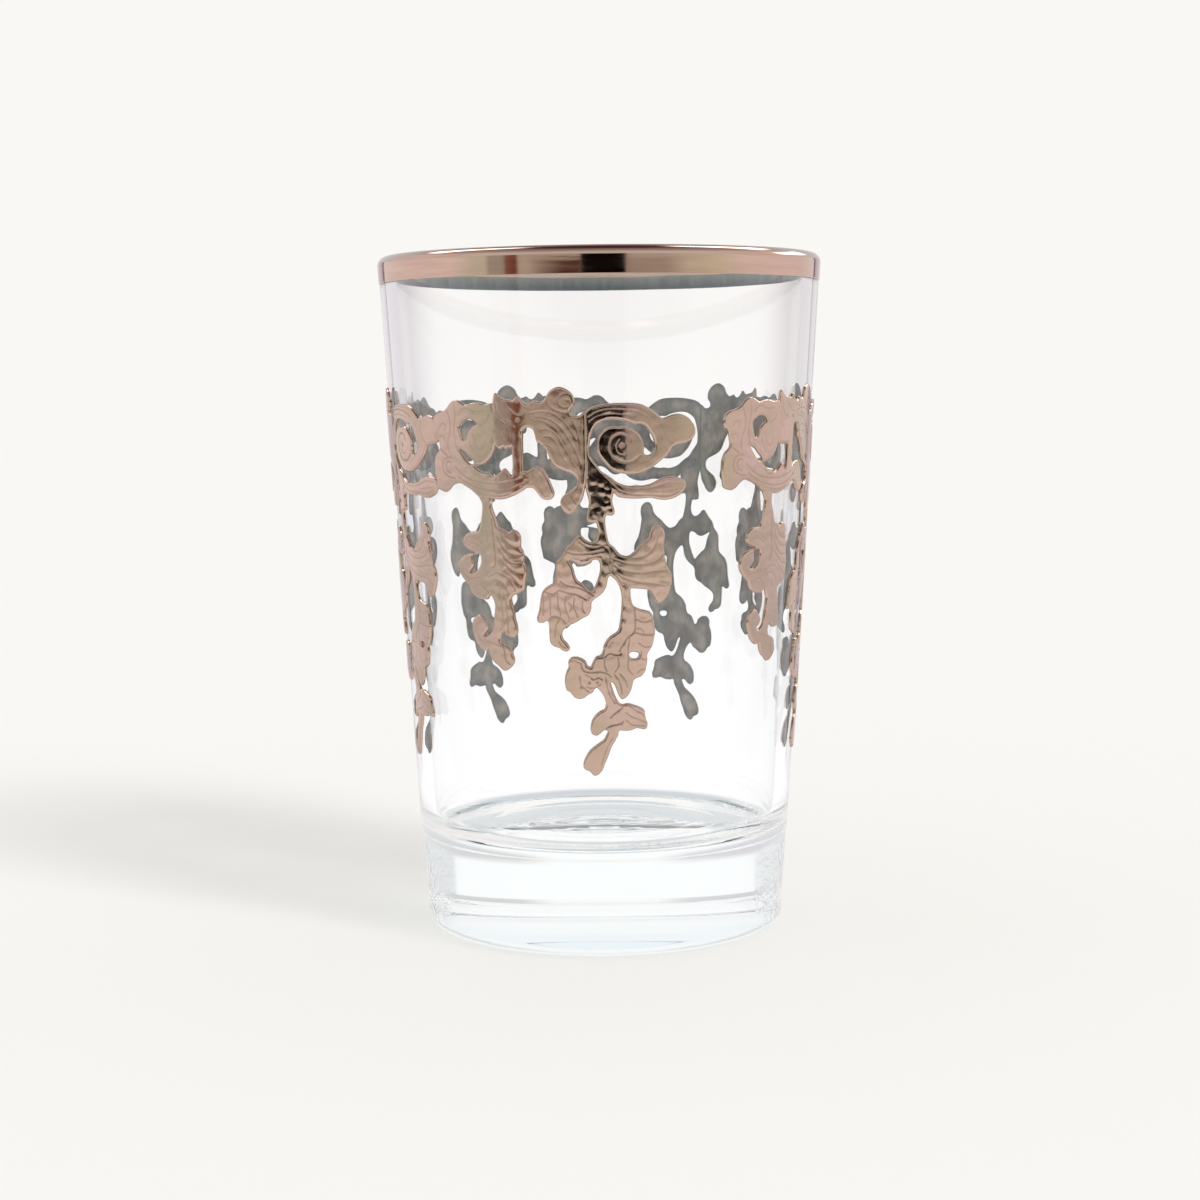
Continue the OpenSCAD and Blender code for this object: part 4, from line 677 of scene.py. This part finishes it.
# The gilding laps over the lip, a hair thinner than its solid, with its edges
# eased. It sits a little in the glass, so that there is no gap between them.
SUNK = 0.02
FILM_EDGE_T = 0.04
FILM_EDGE_H = 0.06
film_t = GILT_T - 0.012
gilt_low, gilt_in_low = GLASS_H - GILT_H, GLASS_H - GILT_INSIDE_H
film_out = [(wall_r(gilt_low + up) + thick / math.cos(LEAN), gilt_low + up)
            for up, thick in ((0, FILM_EDGE_T), (FILM_EDGE_H, film_t), (0.3, film_t), (1.2, film_t))]
film_in = [(bore_r(gilt_in_low + up) - thick / math.cos(LEAN), gilt_in_low + up)
           for up, thick in ((0.3, film_t), (FILM_EDGE_H, film_t), (0, FILM_EDGE_T))]
film = (film_out + arc(LIP_X, LIP_Z, LIP_R + film_t, -lean_deg, 180 - lean_deg, 28) + film_in
        + [(bore_r(gilt_in_low) + SUNK, gilt_in_low)]
        + arc(LIP_X, LIP_Z, LIP_R - SUNK, 180 - lean_deg, -lean_deg, 20)
        + [(wall_r(gilt_low) - SUNK, gilt_low), film_out[0]])
gilding = turned("gilding_lip", film, BRIGHT_GOLD)
gilding.data.materials.append(BRIGHT_BEHIND)
for face in gilding.data.polygons:
    r, z = math.hypot(face.center.x, face.center.y) / MM, face.center.z / MM
    in_glass = math.hypot(r - LIP_X, z - LIP_Z) < LIP_R if z > LIP_Z else bore_r(z) < r < wall_r(z)
    face.material_index = int(in_glass)
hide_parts("gilt_lip")


# Raised motifs
# Pitch of the sculpted sheet, how far in its points are kept and how near they
# are merged, thickness of its ground, radius and height of its edge, its least
# height, and how much of its mesh is kept
SHEET_PITCH = 0.088
INSIDE_BY = 0.3 * SHEET_PITCH
MERGED_AT = 0.15 * SHEET_PITCH
GROUND_H = 0.34
EDGE_ROUND = 0.26
EDGE_H = 0.07
LEAST_H = 0.05
MESH_KEPT = 0.38
CURVE_STEPS = 4
SHEET_SHARP = math.radians(50)
# How much of the drawn relief stands on the sheet, how wide a line is cut,
# how deep a line or a pit is where it is darkest, and the sheet's unevenness
DOMED = 0.07
ENGRAVED = 0.08
LINE_SPREAD = 1.1
LINE_DARK = 0.12
PIT_DARK = 0.16
UNEVEN_H = 0.003
# Underneath, the paste's dark edge, and how far the lines show through
DARK_EDGE = 0.45
SHOWN_THROUGH = 0.45


def smooth_line(points, closed):
    """A smooth curve through drawn points."""
    p = np.array(points, float)
    if closed:
        before, start, after, far = np.roll(p, 1, 0), p, np.roll(p, -1, 0), np.roll(p, -2, 0)
    else:
        padded = np.vstack([p[:1], p, p[-1:]])
        before, start, after, far = padded[:-3], padded[1:-2], padded[2:-1], padded[3:]
    rows = []
    for k in range(CURVE_STEPS):
        t = k / CURVE_STEPS
        rows.append((2 * start + (after - before) * t + (2 * before - 5 * start + 4 * after - far) * t * t
                     + (3 * start - before - 3 * after + far) * t ** 3) / 2)
    made = np.stack(rows, 1).reshape(-1, 2)
    return made if closed else np.vstack([made, p[-1:]])


def nearest_on(x, z, start, end):
    """The nearest point of a straight stretch to each place."""
    run_x, run_z = end - start
    share = ((x - start[0]) * run_x + (z - start[1]) * run_z) / max(run_x * run_x + run_z * run_z, 1e-12)
    share = np.clip(share, 0, 1)
    return start[0] + share * run_x, start[1] + share * run_z


def from_edge(place, loop):
    """How far each place lies inside a closed outline, and its nearest point there."""
    x, z = place[:, 0], place[:, 1]
    inside = np.zeros(len(x), bool)
    best = np.full(len(x), 1e9)
    nearest = np.zeros_like(place)
    for start, end in zip(loop, np.roll(loop, -1, 0)):
        (ax, az), (bx, bz) = start, end
        if bz != az:
            inside ^= ((az > z) != (bz > z)) & (x < (bx - ax) * (z - az) / (bz - az) + ax)
        near_x, near_z = nearest_on(x, z, start, end)
        gap = np.hypot(x - near_x, z - near_z)
        closer = gap < best
        best[closer] = gap[closer]
        nearest[closer, 0], nearest[closer, 1] = near_x[closer], near_z[closer]
    return np.where(inside, best, -best), nearest


def from_motif_edge(place, drawing):
    """The same for a motif with its openings."""
    depth, nearest = from_edge(place, smooth_line(drawing["edge"], True))
    for hole in drawing["holes"]:
        hole_depth, hole_nearest = from_edge(place, smooth_line(hole, True))
        nearer = -hole_depth < depth
        depth = np.minimum(depth, -hole_depth)
        nearest[nearer] = hole_nearest[nearer]
    return depth, nearest


def near_line(place, points, half):
    """1 on a drawn line, falling to 0 at its half width."""
    run = smooth_line(points, False)
    share = np.zeros(len(place))
    close = ((place > run.min(0) - half) & (place < run.max(0) + half)).all(1)
    x, z = place[close].T
    best = np.full(len(x), 1e9)
    for start, end in zip(run, run[1:]):
        near_x, near_z = nearest_on(x, z, start, end)
        best = np.minimum(best, np.hypot(x - near_x, z - near_z))
    share[close] = 1 - best / half
    return ease(share)


def relief(place, drawing):
    """Height of the sheet over the wall, how hollow it is engraved, and how
    far each place lies inside the edge."""
    depth = np.clip(from_motif_edge(place, drawing)[0], 0, None)
    rise = np.sqrt(1 - (1 - np.clip(depth / EDGE_ROUND, 0, 1)) ** 2)
    height = EDGE_H + (GROUND_H - EDGE_H) * rise
    hollow = np.zeros(len(place))
    x, z = place[:, 0], place[:, 1]
    for at_x, at_z, r, h in drawing["balls"]:
        dome = np.clip(1 - ((x - at_x) ** 2 + (z - at_z) ** 2) / r ** 2, 0, 1)
        height += DOMED * (h - GROUND_H) * dome * rise
    for half, h, points in drawing["ridges"]:
        height += DOMED * h * near_line(place, points, half) * rise
    for half, deep, points in drawing["lines"]:
        share = near_line(place, points, half * LINE_SPREAD)
        height -= ENGRAVED * deep * share * rise
        hollow = np.maximum(hollow, share * min(deep / LINE_DARK, 1))
    for at_x, at_z, r, deep in drawing["pits"]:
        share = ease(1 - np.hypot(x - at_x, z - at_z) / r)
        height -= ENGRAVED * deep * share
        hollow = np.maximum(hollow, share * min(deep / PIT_DARK, 1))
    height += UNEVEN_H * np.sin(x * 2.9 + 1.3 * np.sin(z * 1.7)) * rise
    height += UNEVEN_H * np.sin(z * 4.3 + 1.1 * np.sin(x * 2.3)) * rise
    return height, hollow, depth


def points_of(mesh):
    points = np.zeros(len(mesh.vertices) * 3)
    mesh.vertices.foreach_get("co", points)
    return points.reshape(-1, 3)


def cut_sheet(name, drawing):
    """A grid trimmed to a motif's outline, with a top and an underside."""
    outline = smooth_line(drawing["edge"], True)
    low, high = outline.min(0) - 2 * SHEET_PITCH, outline.max(0) + 2 * SHEET_PITCH
    across, up = np.ceil((high - low) / SHEET_PITCH).astype(int)
    bpy.ops.object.select_all(action="DESELECT")
    bpy.ops.mesh.primitive_grid_add(
        x_subdivisions=int(across), y_subdivisions=int(up), size=1, location=(0, 0, 0))
    piece = bpy.context.object
    piece.name = piece.data.name = name
    mesh = piece.data
    flat = points_of(mesh)
    place = (flat[:, :2] + 0.5) * (high - low) + low
    depth, nearest = from_motif_edge(place, drawing)
    solid = depth > INSIDE_BY
    corners = np.zeros(len(mesh.polygons) * 4, int)
    mesh.polygons.foreach_get("vertices", corners)
    corners = corners.reshape(-1, 4)
    kept = solid[corners].any(1)
    used = np.zeros(len(flat), bool)
    used[corners[kept].ravel()] = True
    flat[:, :2] = np.where((used & ~solid)[:, None], nearest, place)
    mesh.vertices.foreach_set("co", flat.ravel())
    bpy.ops.object.mode_set(mode="EDIT")
    bpy.ops.mesh.select_mode(type="FACE")
    bpy.ops.mesh.select_all(action="DESELECT")
    bpy.ops.object.mode_set(mode="OBJECT")
    mesh.polygons.foreach_set("select", ~kept)
    bpy.ops.object.mode_set(mode="EDIT")
    bpy.ops.mesh.delete(type="FACE")
    bpy.ops.mesh.select_mode(type="VERT")
    bpy.ops.mesh.select_all(action="SELECT")
    bpy.ops.mesh.delete_loose(use_verts=True, use_edges=True, use_faces=False)
    bpy.ops.mesh.select_all(action="SELECT")
    bpy.ops.mesh.remove_doubles(threshold=MERGED_AT)
    bpy.ops.object.mode_set(mode="OBJECT")
    # Extruding would put the faces in another order each run, and the thinning
    # goes by that order, so a modifier adds the top
    alone(piece)
    thick = piece.modifiers.new("thick", "SOLIDIFY")
    thick.thickness = 1
    thick.offset = 1
    bpy.ops.object.modifier_apply(modifier=thick.name)
    bpy.ops.object.mode_set(mode="EDIT")
    bpy.ops.mesh.select_all(action="SELECT")
    bpy.ops.mesh.normals_make_consistent(inside=False)
    bpy.ops.object.mode_set(mode="OBJECT")
    return piece


def raised(name, drawing):
    """One motif, sculpted as a sheet of fired paste and laid on the wall."""
    piece = cut_sheet(name, drawing)
    mesh = piece.data
    points = points_of(mesh)
    top = points[:, 2] > 0.5
    place = points[:, :2]
    height, hollow, depth = relief(place, drawing)
    height = np.where(top, np.maximum(height, LEAST_H), -SUNK)
    edge = 1 - np.clip(depth / DARK_EDGE, 0, 1)
    dark = np.where(top, hollow, np.maximum(edge, SHOWN_THROUGH * hollow))
    mesh.attributes.new("hollow", "FLOAT", "POINT").data.foreach_set("value", dark.astype(np.float32))

    angle = place[:, 0] / FRIEZE_R
    radius = wall_r(place[:, 1]) + height
    laid = np.stack([radius * np.sin(angle), -radius * np.cos(angle), place[:, 1]], 1) * MM
    mesh.vertices.foreach_set("co", laid.ravel())
    mesh.update()
    alone(piece)
    thin = piece.modifiers.new("thinned", "DECIMATE")
    thin.ratio = MESH_KEPT
    bpy.ops.object.modifier_apply(modifier=thin.name)
    mesh = piece.data
    mesh.materials.append(SATIN_GOLD)
    mesh.materials.append(UNDERSIDE)
    for face in mesh.polygons:
        outwards = face.normal.x * face.center.x + face.normal.y * face.center.y
        face.material_index = int(outwards < -0.5 * math.hypot(face.center.x, face.center.y))
    bpy.ops.object.shade_smooth_by_angle(angle=SHEET_SHARP)
    return piece


for name, drawing in MOTIFS.items():
    first = raised("raised_" + name + "_1", drawing)
    pieces = [first]
    for i in range(1, REPEATS):
        alone(first)
        bpy.ops.object.duplicate()
        piece = bpy.context.object
        piece.name = piece.data.name = "raised_" + name + "_" + str(i + 1)
        piece.rotation_euler = (0, 0, -i * REPEAT_ANGLE)
        bpy.ops.object.transform_apply(location=False, rotation=True, scale=False)
        pieces.append(piece)
    for i, piece in enumerate(pieces, 1):
        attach(piece, "root")
        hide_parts(name + "_" + str(i))


# Camera
CAMERA_AT = (-0.30, -302.70, 72.88)
CAMERA_DOWN = 0.0982
CAMERA_ROLL = -0.0103
LENS = 68.387

camera_data = bpy.data.cameras.new("camera")
camera_data.lens = LENS
camera_data.sensor_width = 36.0
camera_data.clip_start = 0.01
camera = bpy.data.objects.new("camera", camera_data)
bpy.context.scene.collection.objects.link(camera)
camera.location = [v * MM for v in CAMERA_AT]
camera.rotation_mode = "QUATERNION"
turn = Euler((math.pi / 2 - CAMERA_DOWN, 0, 0)).to_matrix() @ Matrix.Rotation(CAMERA_ROLL, 3, "Z")
camera.rotation_quaternion = turn.to_quaternion()
bpy.context.scene.camera = camera

# Floor
PALE = linear("#FAF8F4")
FLOOR_W = 24

bpy.ops.object.select_all(action="DESELECT")
bpy.ops.mesh.primitive_plane_add(size=FLOOR_W, location=(0, 0, 0))
floor = bpy.context.object
floor.name = "floor"
bpy.ops.object.mode_set(mode="EDIT")
bpy.ops.mesh.subdivide(number_cuts=3)
bpy.ops.object.mode_set(mode="OBJECT")
paper, tree = new_material("pale_studio_paper")
matt = node(tree, "BsdfDiffuse", {}, {"Color": PALE})
node(tree, "OutputMaterial", {}, {"Surface": matt})
floor.data.materials.append(paper)
floor.visible_glossy = False
floor.visible_transmission = False

# A soft key from the right and the front: its share of the light on the
# floor, and the sky's, add up to one
KEY_SHARE = 0.22
KEY_UP = math.radians(34)
KEY_SIDE = math.radians(48)
KEY_SOFT = math.radians(16)
key_data = bpy.data.lights.new("key", "SUN")
key_data.angle = KEY_SOFT
key_data.energy = KEY_SHARE * math.pi / math.sin(KEY_UP)
key = bpy.data.objects.new("key", key_data)
bpy.context.scene.collection.objects.link(key)
key.rotation_euler = (math.pi / 2 - KEY_UP, 0, KEY_SIDE)
key.visible_glossy = False
key.visible_transmission = False

# World: the azimuth of a direction, 0 in front and to the right, and its
# height, each from 0 to 1
world = bpy.data.worlds.new("studio")
bpy.context.scene.world = world
world.use_nodes = True
sky = world.node_tree
sky.nodes.clear()
way = node(sky, "TexCoord", {}, {}).outputs["Generated"]
parts = node(sky, "SeparateXYZ", {}, {"Vector": way})
front = node(sky, "Math", MULTIPLY, {0: parts.outputs["Y"], 1: -1.0})
side = node(sky, "Math", {"operation": "ARCTAN2"}, {0: parts.outputs["X"], 1: front})
azimuth = node(sky, "Math", MULTIPLY_ADD, {0: side, 1: 0.5 / math.pi, 2: 0.5})
up = node(sky, "Math", {"operation": "ARCSINE"}, {0: parts.outputs["Z"]})
elevation = node(sky, "Math", MULTIPLY_ADD, {0: up, 1: 1 / math.pi, 2: 0.5})

NONE, FULL, SOME, MORE = "#000000", "#FFFFFF", "#909090", "#A0A0A0"
# Colours or shares by azimuth in degrees
ROUND = {
    # The white table
    "table": [(-180, "#F4F0EE"), (-80, "#FAF6F6"), (-50, "#FCFBF8"), (50, "#FCFBF8"), (80, "#FAF6F6"),
              (180, "#F4F0EE")],
    # Things at eye height, the camera's dark stand, and a red-brown upright left of it
    "things": [(-180, "#FFFFFF"), (-163, "#E6E2E8"), (-150, "#D2CCD4"), (-149, "#6A6468"),
               (-147.5, "#6A6468"), (-146.5, "#FBF8FA"), (-80, "#FDFAFC"), (-66, "#DEE9DC"),
               (-59, "#DEE9DC"), (-58.4, "#B9BCB6"), (-49, "#B9B9B3"), (-48.4, "#9C7367"),
               (-42.2, "#7A4A3F"), (-41.6, "#CFCDC4"), (-9.0, "#C6C3BA"), (-8.6, "#100D0C"),
               (13.2, "#100D0C"), (13.6, "#C9C7C0"), (34, "#D2D0C8"), (45, "#DDE0D4"), (60, "#E8F0DC"),
               (80, "#FDF8FB"), (146.5, "#FBF8FA"), (147.5, "#6A6468"), (149, "#6A6468"),
               (150, "#D2CCD4"), (163, "#E6E2E8"), (180, "#FFFFFF")],
    "wall": [(-180, "#D8E2E8"), (-100, "#F4F2F4"), (-40, "#E2E8EA"), (40, "#E2E8EA"), (100, "#F4F2F4"),
             (180, "#D8E2E8")],
    "shelf": [(-36, NONE), (-30, "#B0B0B0"), (-18, FULL), (-9.4, FULL), (-9.0, NONE), (13.6, NONE),
              (14.0, SOME), (34, SOME), (45, NONE)],
    "beside": [(-152, NONE), (-120, FULL), (-70, FULL), (-55, NONE), (70, NONE), (85, FULL), (120, FULL),
               (152, NONE)],
    "high window": [(-142, NONE), (-134, FULL), (-118, FULL), (-112, NONE), (112, NONE), (118, FULL),
                    (140, FULL), (146, NONE)],
    "low window": [(108, NONE), (114, FULL), (138, FULL), (144, NONE)],
    # White paper behind the glass, greyer at both sides
    "paper": [(-180, "#FFFFFF"), (-170, "#FFFFFF"), (-162, "#E0DDE2"), (-140, "#DAD8DE"),
              (-90, "#E2E4E8"), (-45, "#E4E8EC"), (45, "#E4E8EC"), (90, "#E2E4E8"),
              (140, "#DAD8DC"), (162, "#DEDCDC"), (170, "#FFFFFF"), (180, "#FFFFFF")],
    "low paper": [(-180, "#FFFFFF"), (-138, "#FFFFFF"), (-136, "#F1F2F1"), (60, "#F1F2F1"),
                  (136, "#E6E8E9"), (138, "#FFFFFF"), (180, "#FFFFFF")],
    "dark room": [(-62, NONE), (-48, SOME), (-32, MORE), (-22, FULL), (22, FULL), (32, MORE), (48, SOME),
                  (62, NONE)],
    # Where the table in the glass's own shade is seen: painted shade
    "near table": [(-115, NONE), (-60, FULL), (60, FULL), (115, NONE)],
}
# The same by height in degrees
UP = {
    # It grows dim and red-brown overhead
    "ceiling": [(30, "#FFFFFF"), (45, "#C8BFBE"), (64, "#A39A98"), (72, "#6A4340"), (90, "#5A3532")],
    "shelf": [(-7.0, NONE), (-6.0, FULL), (-2.2, FULL), (-1.2, NONE)],
    "beside": [(-9, FULL), (-6, NONE)],
    "high window": [(38, NONE), (43, FULL), (66, FULL), (71, NONE)],
    "low window": [(15, NONE), (18, FULL), (26, FULL), (29, NONE)],
    # The table in the glass's own shade, the table, and a soft white ceiling
    "seen up": [(-90, "#C6CDD1"), (-46, "#C6CDD1"), (-34, "#FFFFFF"), (-7, "#FFFFFF"), (-1, "#FBF9F7"),
                (3, "#F5F3F1"), (12, "#FBFBFB"), (30, "#F4F8FB"), (60, "#E8F0F6"), (90, "#E0EAF2")],
    "dark room": [(6, NONE), (11, FULL), (26, FULL), (40, NONE)],
    "near table": [(-46, NONE), (-38, FULL), (-27, FULL), (-20, NONE)],
}
# Shares that rise from none at one height to full at the other
RISING = {"over table": (-11.6, -11.0), "over things": (7.4, 8.6), "under paper": (-5.5, -7.5),
          "over paper": (4, 8)}

shown = {}
for rows, measure, whole_turn in ((ROUND, azimuth, 360), (UP, elevation, 180)):
    for name, stops in rows.items():
        row = node(sky, "ValToRGB", {"stops": [(at / whole_turn + 0.5, code) for at, code in stops]},
                   {"Fac": measure})
        # A patch of the world is in both: round it and up it
        shown[name] = node(sky, "Math", MULTIPLY, {0: row, 1: shown[name]}) if name in shown else row
for name, (none, full) in RISING.items():
    shown[name] = node(sky, "MapRange", {}, {
        "Value": elevation, "From Min": none / 180 + 0.5, "From Max": full / 180 + 0.5})
shown["windows"] = node(sky, "Math", {"operation": "MAXIMUM"}, {
    0: shown["high window"], 1: shown["low window"]})
ray = node(sky, "LightPath", {}, {})
for kind in ("Is Glossy Ray", "Is Transmission Ray", "Is Camera Ray"):
    shown[kind] = ray.outputs[kind]

# What lies over what: a result, how, its share, what is under and what is over
for name, how, share, under, over in (
        # What metal and the glass's faces mirror
        ("things", "MULTIPLY", "beside", "things", (0.78, 0.83, 0.86, 1)),
        ("things", "MIX", "shelf", "things", linear("#5A3A2E")),
        ("table", "MULTIPLY", "beside", "table", (0.86, 0.88, 0.9, 1)),
        ("mirrored", "MIX", "over table", "table", "things"),
        ("mirrored", "MIX", "over things", "mirrored", "wall"),
        ("mirrored", "MULTIPLY", 1.0, "mirrored", "ceiling"),
        ("mirrored", "MIX", "windows", "mirrored", (4.5, 4.5, 4.5, 1)),
        # What shows through the glass
        ("through", "MIX", "under paper", "paper", "low paper"),
        ("through", "MIX", "over paper", "through", (1, 1, 1, 1)),
        ("through", "MULTIPLY", 1.0, "through", "seen up"),
        # Painted shade of the table in the glass's own shadow, seen through the foot
        ("through", "MIX", "near table", "through", linear("#B4BEC5")),
        ("through", "MIX", "dark room", "through", linear("#4A5157")),
        ("through", "MULTIPLY", 1.0, "through", (1.06, 1.05, 1.05, 1)),
        # The sky's plain light, and what each kind of ray meets
        ("sky", "MIX", "Is Glossy Ray", (1 - KEY_SHARE,) * 3 + (1,), "mirrored"),
        ("sky", "MIX", "Is Transmission Ray", "sky", "through"),
        ("sky", "MIX", "Is Camera Ray", "sky", PALE)):
    share, under, over = [shown[v] if isinstance(v, str) else v for v in (share, under, over)]
    shown[name] = node(sky, "Mix", {"data_type": "RGBA", "blend_type": how}, {
        "Factor": share, "A": under, "B": over})
ground = node(sky, "Background", {}, {"Color": shown["sky"], "Strength": 1.0})
node(sky, "OutputWorld", {}, {"Surface": ground})

scene = bpy.context.scene
scene.view_settings.view_transform = "Standard"
scene.cycles.max_bounces = 24
scene.cycles.transmission_bounces = 20
scene.cycles.glossy_bounces = 8
scene.cycles.transparent_max_bounces = 16
